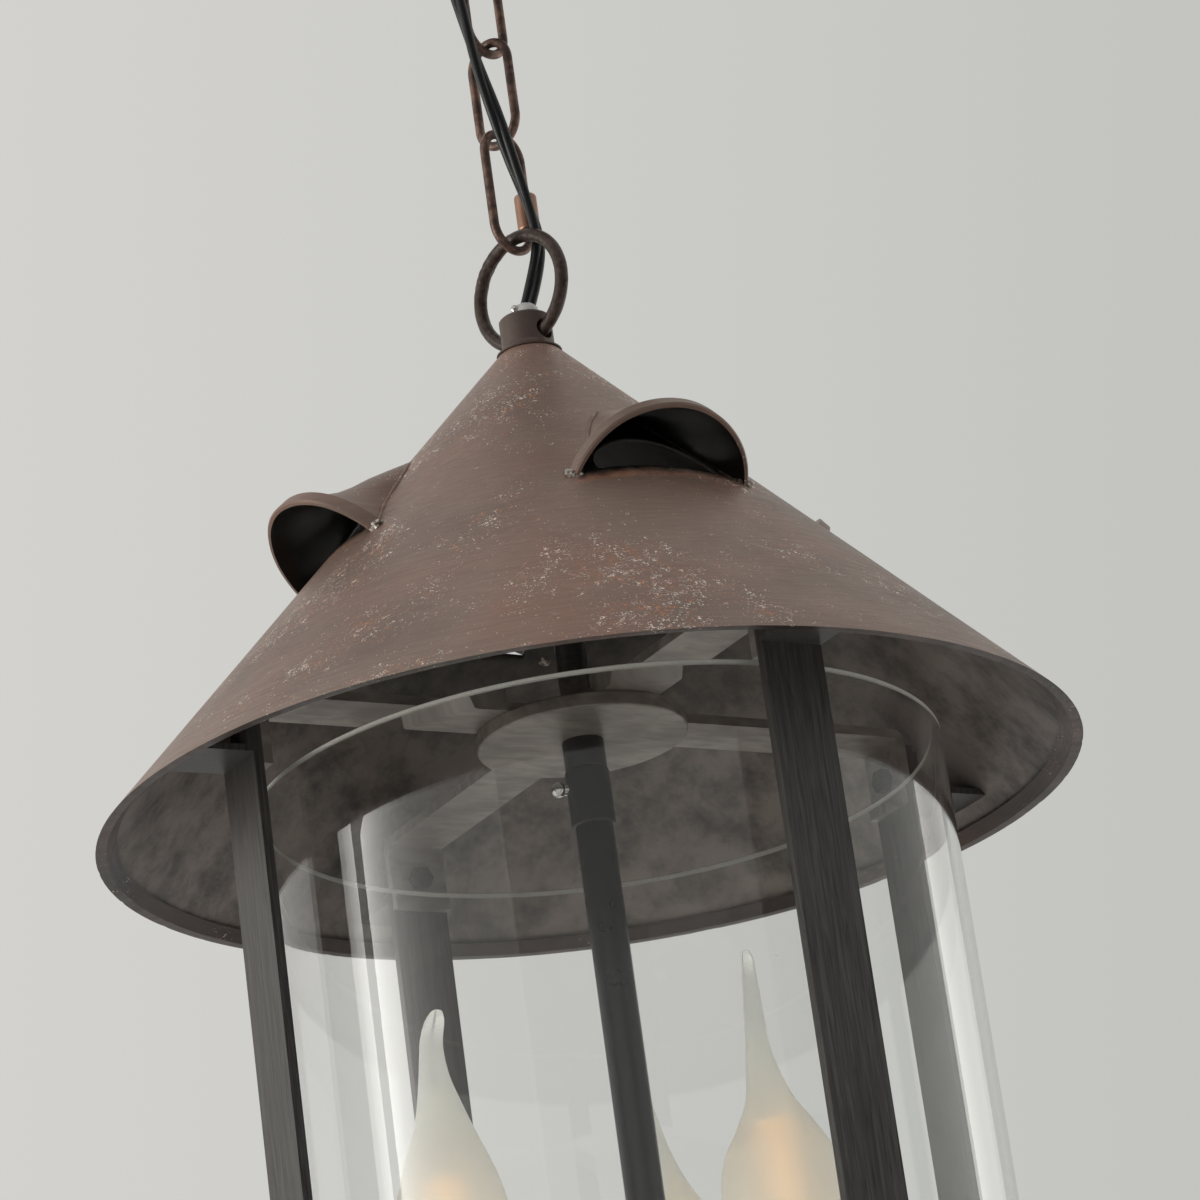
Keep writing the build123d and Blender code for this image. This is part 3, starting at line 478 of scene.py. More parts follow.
def mottled(name, tones, grain, settings, span=None, relief=None):
    """A material whose two tones follow one noise, sharpened by span and raised by relief."""
    made, tree = new_material(name)
    place = add(tree, "ShaderNodeTexCoord")
    grains = add(tree, "ShaderNodeTexNoise", grain, {"Vector": place.outputs["Object"]})
    share = grains
    if span:
        share = add(
            tree,
            "ShaderNodeMapRange",
            {"From Min": span[0], "From Max": span[1]},
            {"Value": grains.outputs[0]},
        )
    tone = add(
        tree,
        "ShaderNodeMix",
        {"data_type": "RGBA", 6: linear(tones[0]), 7: linear(tones[1])},
        {0: share.outputs[0]},
    )
    surface = {"Base Color": tone.outputs[2]}
    if relief:
        bump = add(
            tree,
            "ShaderNodeBump",
            {"Strength": relief[0], "Distance": relief[1]},
            {"Height": grains.outputs[0]},
        )
        surface["Normal"] = bump.outputs[0]
    finish_material(tree, settings, surface)
    return made


# Moulded rubber grommet: matte black with a faint mould bloom, a few millimetres across.
rubber = mottled(
    "black_rubber",
    ("#161616", "#242322"),
    {"Scale": 260.0, "Detail": 4.0},
    {"Roughness": 0.7, "IOR": 1.5},
)
paint(rubber, "cord_grommet")

# Chain links and quick link
# Round steel wire bent and butt-welded, plated in antique copper that has worn bright in places.
# The quick link is left open at one side and closed by a threaded sleeve of brighter copper.
chain_copper, tree = new_material("antique_copper_plate")
place = add(tree, "ShaderNodeTexCoord")
wear = add(
    tree,
    "ShaderNodeTexNoise",
    {"Scale": 150.0, "Detail": 6.0, "Roughness": 0.7},
    {"Vector": place.outputs["Object"]},
)
wear_mask = add(tree, "ShaderNodeMapRange", {"From Min": 0.42, "From Max": 0.68}, {"Value": wear.outputs[0]})
tone = add(
    tree,
    "ShaderNodeMix",
    {"data_type": "RGBA", 6: linear("#544540"), 7: linear("#9C7E70")},
    {0: wear_mask.outputs[0]},
)
sheen = add(tree, "ShaderNodeMapRange", {"To Min": 0.48, "To Max": 0.30}, {"Value": wear_mask.outputs[0]})
bump = add(tree, "ShaderNodeBump", {"Strength": 0.4, "Distance": 0.0002}, {"Height": wear.outputs[0]})
finish_material(
    tree,
    {"Metallic": 0.75},
    {"Base Color": tone.outputs[2], "Roughness": sheen.outputs[0], "Normal": bump.outputs[0]},
)
paint(chain_copper, "chain_link_1", "chain_link_2", "quick_link")
# Bright copper plate: brushed along the sleeve, so its highlight breaks into short lines.
sleeve_copper = plated_steel("bright_copper_plate", "#C09A84", "#8A6656", (500, 500, 120), 0.25)
paint(sleeve_copper, "quick_link_sleeve")

# Hanging ring
# Thick round bar bent to a ring and welded, dark bronze lacquer, pitted and lumpy near the weld.
ring_centre = Vector((0, 0, -0.17415))
ring_turn = math.radians(16)
ring_out = Vector((math.sin(ring_turn), -math.cos(ring_turn), 0))
ring_side = Vector((-ring_out.y, ring_out.x, 0))
ring_mean = 0.018
ring_wire = 0.00215
ring_thinner = 0.00004
weld_angle = 2.45
weld_spread = 0.35
lump_height = 0.00006
weld_lump_height = 0.00016
lumps_per_metre = 620
rings = []
for angle in angles(240):
    spoke = ring_out * math.cos(angle) + Vector((0, 0, 1)) * math.sin(angle)
    middle = ring_centre + spoke * ring_mean
    weld = math.exp(-(((angle - weld_angle) / weld_spread) ** 2))
    lumpy = lump_height + weld_lump_height * weld
    section = []
    for around in angles(40):
        way = spoke * math.cos(around) + ring_side * math.sin(around)
        rough = noise.noise((middle + way * ring_wire) * lumps_per_metre) * lumpy
        section.append(middle + way * (ring_wire - ring_thinner + rough))
    rings.append(section)
# Dark bronze lacquer: brushed on thickly, with pits of about 2 mm that show the steel's skin.
bronze = mottled(
    "dark_bronze_lacquer",
    ("#2B211D", "#54433A"),
    {"Scale": 520.0, "Detail": 5.0, "Roughness": 0.7},
    {"Metallic": 0.3, "Roughness": 0.36},
    span=(0.35, 0.7),
    relief=(0.5, 0.00025),
)
ring = piece("forged_ring", ringed(rings, True), [bronze], 70)
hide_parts("hanging_ring")
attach(ring, "hanger")

# Neck collar and the bushing on it
# A turned brass-brown cap with a hole at each side for the ring. The cord's milky plastic
# bushing sits in its top, with a bright solder bead beside it.
collar_copper = antique_copper("antique_copper_neck", "#5A4D45", "#3F3631", "#634C42", -0.12, 0.40)
paint(collar_copper, "neck_collar")
# Milky polypropylene: moulded, slightly uneven in its haze, and it lets some light in.
milky = mottled(
    "milky_polypropylene",
    ("#ECEBE6", "#C8C7C1"),
    {"Scale": 500.0, "Detail": 2.0},
    {"Roughness": 0.22, "IOR": 1.49, "Transmission Weight": 0.25},
)
gland_foot_mm = -184.3
gland_profile_mm = (
    (2.0, 0.0),
    (3.6, 0.05),
    (4.1, 0.9),
    (4.2, 1.8),
    (3.9, 3.0),
    (3.3, 3.9),
    (2.9, 4.3),
    (1.4, 4.5),
)
rings = []
for radius, lift in gland_profile_mm:
    section = []
    for angle in angles(48):
        way = Vector((math.cos(angle), math.sin(angle), 0))
        lump = 1 + 0.09 * noise.noise(way * 1.8 + Vector((0, 0, lift * 0.5)))
        section.append((way * radius * lump + Vector((0.2, -0.8, gland_foot_mm + lift))) / 1000)
    rings.append(section)
gland = piece("bushing_gland", ringed(rings), [milky], 60)
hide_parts("cord_bushing")
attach(gland, "lantern")
bead_centre = Vector((-0.0040, -0.0012, -0.1818))
bead_radius = 0.0012
bead_half_height = 0.0014


def ball_rings(rows, sides, point_at):
    """Rings over a lumpy ball: point_at gives the point in each direction from its middle."""
    rings = []
    for row in range(1, rows):
        polar = math.pi * row / rows
        flat = math.sin(polar)
        rings.append(
            [
                point_at(Vector((flat * math.cos(around), flat * math.sin(around), math.cos(polar))))
                for around in angles(sides)
            ]
        )
    return rings


def bead_point(way):
    """A point of the bead, which is a little taller than wide."""
    lump = 1 + 0.18 * noise.noise(way * 1.7 + Vector((3, 1, 7)))
    reach = Vector((way.x * bead_radius, way.y * bead_radius, way.z * bead_half_height))
    return bead_centre + reach * lump


# Bright solder: it set with fine ripples of about 1.5 mm, which glitter.
solder, tree = new_material("bright_solder")
place = add(tree, "ShaderNodeTexCoord")
ripple = add(
    tree,
    "ShaderNodeTexNoise",
    {"Scale": 700.0, "Detail": 3.0},
    {"Vector": place.outputs["Object"]},
)
bump = add(tree, "ShaderNodeBump", {"Strength": 0.4, "Distance": 0.0002}, {"Height": ripple.outputs[0]})
finish_material(
    tree,
    {"Base Color": linear("#CDCBC6"), "Metallic": 1.0, "Roughness": 0.24},
    {"Normal": bump.outputs[0]},
)
bead = piece("solder_bead", ringed(ball_rings(16, 24, bead_point)), [solder], 70)
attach(bead, "lantern")

# Roof
# One cone of sheet steel with a folded rim, brown antique lacquer outside and dark inside.
# The rolled sheet isn't perfectly even, and its rim is nicked, so both are in the mesh.
# Each point of its outline has a radius, a height and a side: 0 outside, 1 inside, 2 the rim's edge.
rim_radius = 150
rim_height = -348
cone_run = 140.3
cone_rise = 151.2
outside_radius = 149.95
outside_foot = -347.95
outside_run = 140.25
outside_rise = 151.15
neck_radius = 8.05
neck_height = -196.8
inside_radius = 144.65
inside_foot = -344.0
roof_profile_mm = []
for share in [i / 110 for i in range(111)]:
    radius = outside_radius - outside_run * share
    roof_profile_mm.append((radius, outside_foot + outside_rise * share, 0))
roof_profile_mm.append((neck_radius, neck_height, 1))
for share in [i / 60 for i in range(1, 61)]:
    radius = neck_radius + (inside_radius - neck_radius) * share
    roof_profile_mm.append((radius, neck_height - (neck_height - inside_foot) * share, 1))
# The folded hem stands in from the sheet and turns out to the rim.
roof_profile_mm += [(143.2, -344.6, 1), (146.75, -347.9, 2), (148.6, -348.0, 2)]
wave_depth = 0.35
wave_room = 0.15
dent_depth = 0.07
nick_depth = 0.35
rings = []
for angle in angles(480):
    way = Vector((math.cos(angle), math.sin(angle), 0))
    section = []
    for radius, height, side in roof_profile_mm:
        share = radius / rim_radius
        wave = noise.noise(Vector((way.x * 1.6, way.y * 1.6, height / 90))) * wave_depth * share
        dent = noise.noise(Vector((way.x * 7, way.y * 7, height / 22))) * dent_depth * share
        nick = 0.0
        if side == 2 or height < rim_height + 0.5:
            nick = max(0, noise.noise(way * 42) - 0.25) * nick_depth
        r = (radius - wave_room * share + wave * share + dent - nick) / 1000
        section.append(Vector((way.x * r, way.y * r, (height + nick) / 1000)))
    rings.append(section)
roof_outside = antique_copper(
    "antique_copper_roof", "#917B6E", "#735F54", "#9A7262", 0.075, 0.42, masks=True
)
# Inside, the same sheet only got a thin dark coat: soft black blotches on grey-brown.
roof_inside, tree = new_material("dark_lacquer_inside")
place = add(tree, "ShaderNodeTexCoord")
blotch = add(
    tree,
    "ShaderNodeTexNoise",
    {"Scale": 52.0, "Detail": 8.0, "Roughness": 0.7},
    {"Vector": place.outputs["Object"]},
)
blotch_mask = add(
    tree,
    "ShaderNodeMapRange",
    {"From Min": 0.34, "From Max": 0.58},
    {"Value": blotch.outputs[0]},
)
fine = add(tree, "ShaderNodeTexNoise", {"Scale": 300.0, "Detail": 3.0}, {"Vector": place.outputs["Object"]})
tone = add(
    tree,
    "ShaderNodeMix",
    {"data_type": "RGBA", 6: linear("#55504C"), 7: linear("#8F857E")},
    {0: blotch_mask.outputs[0]},
)
# Painted shade: towards the top of the cone the inside is painted almost black, where shade falls deep
# inside it.
heights = add(tree, "ShaderNodeSeparateXYZ", None, {0: place.outputs["Object"]})
painted_shade_top = add(
    tree,
    "ShaderNodeMapRange",
    {"From Min": -0.300, "From Max": -0.255, "To Max": 0.95},
    {"Value": heights.outputs[2]},
)
tone = add(
    tree,
    "ShaderNodeMix",
    {"data_type": "RGBA", 7: linear("#100F0E")},
    {0: painted_shade_top.outputs[0], 6: tone.outputs[2]},
)
finish_marked(tree, 0.2, tone, fine, (0.34, 0.55), (0.2, 0.00015))
roof_edge = antique_copper("worn_rim", "#453831", "#2C2522", "#6A4A3E", 0.0, 0.36)
roof = piece("roof_sheet", ringed(rings, True), [roof_outside, roof_inside, roof_edge], 35)
profile_count = len(roof_profile_mm)
for face in roof.data.polygons:
    sides = {roof_profile_mm[v % profile_count][2] for v in face.vertices}
    face.material_index = 2 if 2 in sides else (1 if sides == {1} else 0)
# A half-round vent is cut through the sheet under each hood, before the hood goes on.
# A hood's stations give its distance up the slope and its radius; its axis lies below the sheet.
cone_slant = 206.27
slope_out = cone_run / cone_slant
slope_up = cone_rise / cone_slant
hood_up_slope = 107.5
hood_axis_depth = 7.6
first_hood_turn = -5
vent_radius = 20
vent_foot = 3.0
hood_stations = (
    (0.3, 28.6),
    (4.5, 27.1),
    (10, 23.3),
    (15.8, 19.4),
    (22, 16.6),
    (29, 14.2),
    (36, 11.4),
    (43.5, 8.2),
)
hood_places = []
for number in range(4):
    turn = math.radians(first_hood_turn + 90 * number)
    out = Vector((math.sin(turn), -math.cos(turn), 0))
    across = Vector((-out.y, out.x, 0))
    along = Vector((0, 0, slope_up)) - out * slope_out
    away = out * slope_up + Vector((0, 0, slope_out))
    foot_r = rim_radius - slope_out * hood_up_slope - slope_up * hood_axis_depth
    foot_z = rim_height + slope_up * hood_up_slope - slope_out * hood_axis_depth
    foot = out * foot_r + Vector((0, 0, foot_z))
    hood_places.append((foot, across, along, away))
    arch = []
    for k in range(41):
        turn = math.pi * k / 40
        arch.append((vent_radius * math.cos(turn), vent_radius * math.sin(turn)))
    walls = []
    for through in (hood_axis_depth - 6.0, hood_axis_depth + 6.0):
        walls.append(
            [(foot + across * a + along * (vent_foot + b) + away * through) / 1000 for a, b in arch]
        )
    cutter = piece("vent_punch", ringed(walls), [roof_inside])
    punch = roof.modifiers.new("vent", "BOOLEAN")
    punch.operation = "DIFFERENCE"
    punch.solver = "EXACT"
    punch.object = cutter
    graph = bpy.context.evaluated_depsgraph_get()
    cut = bpy.data.meshes.new_from_object(roof.evaluated_get(graph))
    roof.modifiers.clear()
    roof.data = cut
    bpy.data.objects.remove(cutter)


def hood_half_width(t):
    """Half the width that a hood covers on the roof, at a distance up the slope."""
    for (t0, r0), (t1, r1) in zip(hood_stations, hood_stations[1:]):
        if t <= t1:
            r = r0 + (r1 - r0) * (max(t, t0) - t0) / (t1 - t0)
            return math.sqrt(max(0.0, r**2 - hood_axis_depth**2))
    return 0.0


# The sheet under each hood is painted near-black as painted shade, and its lacquer is rubbed through along
# the sill at the mouth. Both are shares on the sheet's points, with t up the slope and side across it.
mouth_half_width = 27
hood_shade = roof.data.attributes.new("hood_shade", "FLOAT", "POINT")
rubbed = roof.data.attributes.new("rubbed", "FLOAT", "POINT")
for vertex in roof.data.vertices:
    at = vertex.co * 1000
    shade_here = rub_here = 0.0
    for foot, across, along, away in hood_places:
        t = (at - foot).dot(along)
        side = (at - foot).dot(across)
        # Points on the sheet's inside or away from this hood stay as they are.
        if (at - foot).dot(away) < 0 or abs(side) > 40 or not -22 < t < 44:
            continue
        edge = 2.4 * noise.noise(at / 4) + 1.6 * noise.noise(at / 1.7)
        if t < 0 or abs(side) < hood_half_width(t) - 1.5:
            reach = 1.0 if abs(side) < mouth_half_width else 0.0
            depth = (t + 1.5 + edge - 2.0 * side / mouth_half_width) / 5.0
            # The painted shade deepens into the hood and is heavier towards one side.
            shade_here = max(shade_here, reach * min(1.0, max(0.0, depth)))
        near_sill = math.exp(-(((t + 2.0) / 4.0) ** 2)) * max(0.0, 1 - (abs(side) / 34) ** 6)
        rub_here = max(rub_here, near_sill * (0.75 - 0.25 * side / mouth_half_width))
    hood_shade.data[vertex.index].value = shade_here
    rubbed.data[vertex.index].value = rub_here
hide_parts("roof_cone")
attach(roof, "lantern")

# Vent hoods and the seams that hold them
# Each is half of a spun bell with a rolled lip, soldered on the roof along both sides and
# painted over. Its inside is painted near-black: painted shade in the hollow under the hood.
hood_copper = antique_copper("antique_copper_hood", "#8A7366", "#66554B", "#966F60", 0.02, 0.40)
# Painted shade: near-black for the hood's inside faces, where shade falls.
hood_inside_shade = mottled(
    "painted_shade_black_inside",
    ("#0A0A0A", "#171514"),
    {"Scale": 180.0, "Detail": 4.0},
    {"Roughness": 0.42},
)
hood_outline = [(0.0, 27.5), (0.0, 28.5), (0.6, 29.0), (4.5, 28.7), (4.6, 27.1)]
hood_outline += [(t, r) for t, r in hood_stations[2:]] + [(44.0, 8.0), (44.0, 7.7)]
hood_outline += [(t - 0.4, r - 1.0) for t, r in reversed(hood_stations[2:])] + [(4.5, 26.1)]
# Grey solder with brown lacquer in its hollows, which are about 1.5 mm across.
grey_solder = mottled(
    "lacquered_solder",
    ("#6F5F56", "#C9C2BA"),
    {"Scale": 620.0, "Detail": 4.0},
    {"Metallic": 0.6, "Roughness": 0.38},
    span=(0.42, 0.56),
    relief=(0.7, 0.0004),
)
hood_wobble = 0.12
seam_sides = 14
seam_start = 0.6
seam_length = 43.0
seam_lift = 0.15
lump_half_width = 2.9
lump_half_length = 2.3
lump_half_height = 1.5
for number, (foot, across, along, away) in enumerate(hood_places):

    def on_roof(t, r, sink=0.0):
        """Angle from upright at which a bell's circle meets the roof, found by halving."""
        small, large = 0.3, 1.57
        for _ in range(30):
            middle = (small + large) / 2
            point = foot + along * t + (away * math.cos(middle) + across * math.sin(middle)) * r
            flat_r = math.hypot(point.x, point.y)
            cone_r = rim_radius - (point.z - rim_height) * cone_run / cone_rise
            if (flat_r - cone_r) * slope_up > -sink:
                small = middle
            else:
                large = middle
        return small

    rings = []
    columns = 72
    for j in range(columns + 1):
        section = []
        for t, r in hood_outline:
            limit = on_roof(t, r, 0.5)
            angle = limit * (2 * j / columns - 1)
            wobble = hood_wobble * noise.noise(Vector((angle * 2, t / 9, number * 3.1)))
            lifted = r + wobble
            point = foot + along * t + (away * math.cos(angle) + across * math.sin(angle)) * lifted
            section.append(point / 1000)
        rings.append(section)
    hood = piece(f"hood_{number + 1}", ringed(rings), [hood_copper, hood_inside_shade], 38)
    # The inside faces take the near-black painted shade.
    inside = set(range(len(hood_outline) - len(hood_stations[2:]) - 1, len(hood_outline))) | {0}
    for face in hood.data.polygons:
        if len(face.vertices) == 4 and {v % len(hood_outline) for v in face.vertices} <= inside:
            face.material_index = 1
    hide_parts(f"vent_hood_{number + 1}")
    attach(hood, "lantern")
    for side, side_name in ((1, "right"), (-1, "left")):
        seam = []
        for step in range(46):
            t = seam_start + seam_length * step / 45
            lower = max(n for n in range(len(hood_stations)) if hood_stations[n][0] <= t or n == 0)
            upper = min(lower + 1, len(hood_stations) - 1)
            t0, r0 = hood_stations[lower]
            t1, r1 = hood_stations[upper]
            r = r0 if upper == lower else r0 + (r1 - r0) * (t - t0) / (t1 - t0)
            angle = side * on_roof(t, r + seam_lift)
            outward = away * math.cos(angle) + across * math.sin(angle)
            seam.append((foot + along * t + outward * (r + seam_lift)) / 1000)

        def seam_section(share):
            """A round fillet that swells and thins by hand, and fades out at the top."""
            swell = 0.9 + 0.5 * noise.noise(Vector((share * 11, side * 4.0, number * 2.3)))
            end = 0.9 * math.exp(-((share / 0.035) ** 2))
            thick = 0.00075 * (swell + end) * min(1.0, (1.02 - share) * 9)
            return [(thick * math.cos(a), thick * math.sin(a)) for a in angles(seam_sides)]

        weld_name = f"hood_seam_{number + 1}_{side_name}"
        weld = piece(weld_name, swept(seam, seam_section), [hood_copper], 80)
        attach(weld, "lantern")
        # The solder ran into a grey lump at the foot of the seam.
        lump_at = seam[1] + along * 0.0004

        def lump_point(ball):
            """A point of the flattened lump, uneven in another way at each seam."""
            grown = 1 + 0.35 * noise.noise(ball * 1.9 + Vector((number * 3.0, side * 2.0, 0)))
            spread = (
                across * ball.x * lump_half_width
                + along * ball.y * lump_half_length
                + away * ball.z * lump_half_height
            )
            return lump_at + spread * grown / 1000

        lump_name = f"hood_solder_{number + 1}_{side_name}"
        lump = piece(lump_name, ringed(ball_rings(14, 28, lump_point)), [grey_solder], 70)
        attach(lump, "lantern")

# Side bars and their brackets
# Flat steel bar, screwed to brackets under the roof, with a dark lacquer wiped along its length.
# The wiping leaves a grain of about 1 mm by 25 mm, and the corners are rubbed reddish.
bar_lacquer, tree = new_material("wiped_dark_lacquer")
place = add(tree, "ShaderNodeTexCoord")
spot = place.outputs["Object"]
stretch = add(tree, "ShaderNodeMapping", {"Scale": (1100, 1100, 38)}, {"Vector": spot})
grain = add(
    tree,
    "ShaderNodeTexNoise",
    {"Scale": 1.0, "Detail": 6.0, "Roughness": 0.6, "Distortion": 1.1},
    {"Vector": stretch.outputs[0]},
)
grain_mask = add(
    tree,
    "ShaderNodeMapRange",
    {"From Min": 0.30, "From Max": 0.72},
    {"Value": grain.outputs[0]},
)
facing = add(tree, "ShaderNodeSeparateXYZ", None, {0: place.outputs["Normal"]})
x_size = add(tree, "ShaderNodeMath", {"operation": "ABSOLUTE"}, {0: facing.outputs[0]})
y_size = add(tree, "ShaderNodeMath", {"operation": "ABSOLUTE"}, {0: facing.outputs[1]})
corner = add(
    tree,
    "ShaderNodeMath",
    {"operation": "MINIMUM"},
    {0: x_size.outputs[0], 1: y_size.outputs[0]},
)
edge_mask = add(
    tree,
    "ShaderNodeMapRange",
    {"From Min": 0.15, "From Max": 0.35, "To Max": 0.85},
    {"Value": corner.outputs[0]},
)
tone = add(
    tree,
    "ShaderNodeMix",
    {"data_type": "RGBA", 6: linear("#312F2E"), 7: linear("#5A5653")},
    {0: grain_mask.outputs[0]},
)
edged = add(
    tree,
    "ShaderNodeMix",
    {"data_type": "RGBA", 7: linear("#8A6B5F")},
    {0: edge_mask.outputs[0], 6: tone.outputs[2]},
)
finish_marked(tree, 0.25, edged, grain, (0.30, 0.50), (0.3, 0.0002))
paint(bar_lacquer, "side_bar_1", "side_bar_2", "side_bar_3", "side_bar_4", "roof_brackets")
for number in range(1, 5):
    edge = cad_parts[f"side_bar_{number}"].modifiers.new("rolled_edges", "BEVEL")
    edge.width = 0.0005
    edge.segments = 2
    edge.limit_method = "ANGLE"

# Top straps, hub disc and lower hub
# Flat steel in a thin pewter lacquer, wiped so that brush marks and darker clouds show.
pewter, tree = new_material("wiped_pewter_lacquer")
place = add(tree, "ShaderNodeTexCoord")
spot = place.outputs["Object"]
stretch = add(tree, "ShaderNodeMapping", {"Scale": (90, 260, 260)}, {"Vector": spot})
marks = add(
    tree,
    "ShaderNodeTexNoise",
    {"Scale": 1.0, "Detail": 5.0, "Distortion": 0.5},
    {"Vector": stretch.outputs[0]},
)
cloud = add(tree, "ShaderNodeTexNoise", {"Scale": 34.0, "Detail": 4.0}, {"Vector": spot})
both = add(tree, "ShaderNodeMath", {"operation": "MULTIPLY"}, {0: marks.outputs[0], 1: cloud.outputs[0]})
mark_mask = add(
    tree,
    "ShaderNodeMapRange",
    {"From Min": 0.16, "From Max": 0.38},
    {"Value": both.outputs[0]},
)
tone = add(
    tree,
    "ShaderNodeMix",
    {"data_type": "RGBA", 6: linear("#857D77"), 7: linear("#AFA79F")},
    {0: mark_mask.outputs[0]},
)
finish_marked(tree, 0.35, tone, marks, (0.34, 0.5), (0.2, 0.00015))
paint(pewter, "top_strap_x", "top_strap_y", "hub_disc", "base_hub")

# Stem, nuts and screws
# The threaded stem and its lock nut are plain machined steel, and the bars' fixings are
# blackened. The coupler's ball-headed side screw is chromed.
# Machined steel: the turning marks run round in fine rings.
plain_steel = plated_steel("machined_steel", "#8F8C87", "#5F5C58", (200, 200, 2600), 0.32)
paint(plain_steel, "hanger_stem", "stem_nut")
# Blackened steel: dull, with a mottling of about 2 mm.
black_steel = plated_steel("blackened_steel", "#5B5650", "#37332F", (500, 500, 500), 0.34)
paint(black_steel, "bar_screws", "bar_nuts", "hub_screws")
# Polished chrome: almost a mirror, so it shows as a bright dot.
chrome = plated_steel("polished_chrome", "#E6E6E4", "#D2D2D0", (300, 300, 300), 0.04)
paint(chrome, "coupler_screw")


# Coupler, rod and spider
# Drawn steel tube and cast joints in glossy near-black lacquer, with small pale scuffs.
def dark_lacquer(name, ground, gloss, scuffs):
    """Near-black lacquer of a given gloss, with more or fewer scuffs."""
    made, tree = new_material(name)
    place = add(tree, "ShaderNodeTexCoord")
    spot = place.outputs["Object"]
    cloud = add(tree, "ShaderNodeTexNoise", {"Scale": 70.0, "Detail": 5.0}, {"Vector": spot})
    speck = add(
        tree,
        "ShaderNodeTexNoise",
        {"Scale": 700.0, "Detail": 2.0, "Distortion": 1.2},
        {"Vector": spot},
    )
    scuff = add(
        tree,
        "ShaderNodeMapRange",
        {"From Min": 0.76 - scuffs, "From Max": 0.80 - scuffs, "To Max": 0.7},
        {"Value": speck.outputs[0]},
    )
    shade = add(
        tree,
        "ShaderNodeMix",
        {"data_type": "RGBA", 6: linear(ground), 7: linear("#2E2F31")},
        {0: cloud.outputs[0]},
    )
    colour = add(
        tree,
        "ShaderNodeMix",
        {"data_type": "RGBA", 7: linear("#9A9692")},
        {0: scuff.outputs[0], 6: shade.outputs[2]},
    )
    sheen = add(
        tree,
        "ShaderNodeMapRange",
        {"To Min": gloss, "To Max": gloss + 0.15},
        {"Value": cloud.outputs[0]},
    )
    bump = add(tree, "ShaderNodeBump", {"Strength": 0.12, "Distance": 0.0002}, {"Height": cloud.outputs[0]})
    finish_material(
        tree,
        {"IOR": 1.5},
        {"Base Color": colour.outputs[2], "Roughness": sheen.outputs[0], "Normal": bump.outputs[0]},
    )
    return made


rod_lacquer = dark_lacquer("black_rod_lacquer", "#101216", 0.22, 0.0)
coupler_lacquer = dark_lacquer("satin_black_lacquer", "#232323", 0.36, 0.02)
paint(rod_lacquer, "centre_rod")
paint(coupler_lacquer, "stem_stub", "stem_coupler", "candle_spider")
paint(coupler_lacquer, "drip_pan_1", "drip_pan_2", "drip_pan_3")

# Tray and finial
# Pressed and turned steel in a darker coat of the roof's lacquer. The glass stands in the tray,
# and the finial is screwed on below it.
tray_copper = antique_copper("antique_copper_tray", "#5C4C43", "#42372F", "#6E5144", 0.01, 0.38)
paint(tray_copper, "glass_tray", "bottom_finial")

# Glass cylinder
# Clear drawn glass with a slight ripple, cut and ground at both ends, so each rim shines pale.
# Each point of its outline has a radius, a height and 1 where it is ground.
glass_centre = Vector((0.0023, -0.0014, 0))
glass_profile_mm = [(105.2, -597.2 + 255.4 * i / 60, 0) for i in range(61)]
glass_profile_mm += [(105.1, -340.8, 1), (104.6, -340.5, 1), (103.3, -340.5, 1), (102.8, -340.8, 1)]
glass_profile_mm += [(102.7, -341.8 - 255.4 * i / 60, 0) for i in range(61)]
glass_profile_mm += [(102.8, -598.2, 1), (103.3, -598.5, 1), (104.6, -598.5, 1), (105.1, -598.2, 1)]
ripple_depth = 0.10
rings = []
for angle in angles(288):
    way = Vector((math.cos(angle), math.sin(angle), 0))
    section = []
    for radius, height, _ in glass_profile_mm:
        ripple = ripple_depth * noise.noise(Vector((way.x * 2.2, way.y * 2.2, height / 160)))
        reach = (radius - ripple_depth + ripple) / 1000
        section.append(glass_centre + way * reach + Vector((0, 0, height / 1000)))
    rings.append(section)
# Clear glass: colourless and smooth but for a few specks of dust.
clear_glass, tree = new_material("clear_soda_glass")
place = add(tree, "ShaderNodeTexCoord")
draw = add(tree, "ShaderNodeTexNoise", {"Scale": 9.0, "Detail": 2.0}, {"Vector": place.outputs["Object"]})
dust = add(
    tree,
    "ShaderNodeTexNoise",
    {"Scale": 260.0, "Detail": 2.0, "Distortion": 0.8},
    {"Vector": place.outputs["Object"]},
)
dust_mask = add(
    tree,
    "ShaderNodeMapRange",
    {"From Min": 0.80, "From Max": 0.82, "To Min": 0.0, "To Max": 0.5},
    {"Value": dust.outputs[0]},
)
tone = add(
    tree,
    "ShaderNodeMix",
    {"data_type": "RGBA", 6: linear("#FFFFFF"), 7: linear("#FCFDFC")},
    {0: draw.outputs[0]},
)
finish_material(
    tree,
    {"IOR": 1.5, "Transmission Weight": 1.0},
    {"Base Color": tone.outputs[2], "Roughness": dust_mask.outputs[0]},
)
# Ground edge: the grit leaves it white and dull, drawn at about 1 mm so that it shows.
ground_glass = mottled(
    "ground_glass_edge",
    ("#F7F6F1", "#E6E4DC"),
    {"Scale": 900.0, "Detail": 2.0},
    {"IOR": 1.5, "Transmission Weight": 0.1, "Roughness": 0.45},
)
glass = piece("glass_tube", ringed(rings, True), [clear_glass, ground_glass], 30)
glass_count = len(glass_profile_mm)
for face in glass.data.polygons:
    if any(glass_profile_mm[v % glass_count][2] for v in face.vertices):
        face.material_index = 1
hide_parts("glass_cylinder")
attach(glass, "glass")

# Candle sleeves and lampholders
# Cream card-and-resin sleeves, pushed over moulded black lampholders. The resin is cast, and
# its wax-like mottling is about 12 mm across.
cream = mottled(
    "cream_resin_sleeve",
    ("#DDD0B4", "#C9BA9A"),
    {"Scale": 80.0, "Detail": 4.0},
    {"Roughness": 0.5, "IOR": 1.48},
    relief=(0.15, 0.0003),
)
paint(cream, "candle_sleeve_1", "candle_sleeve_2", "candle_sleeve_3")
paint(rubber, "lampholder_1", "lampholder_2", "lampholder_3")
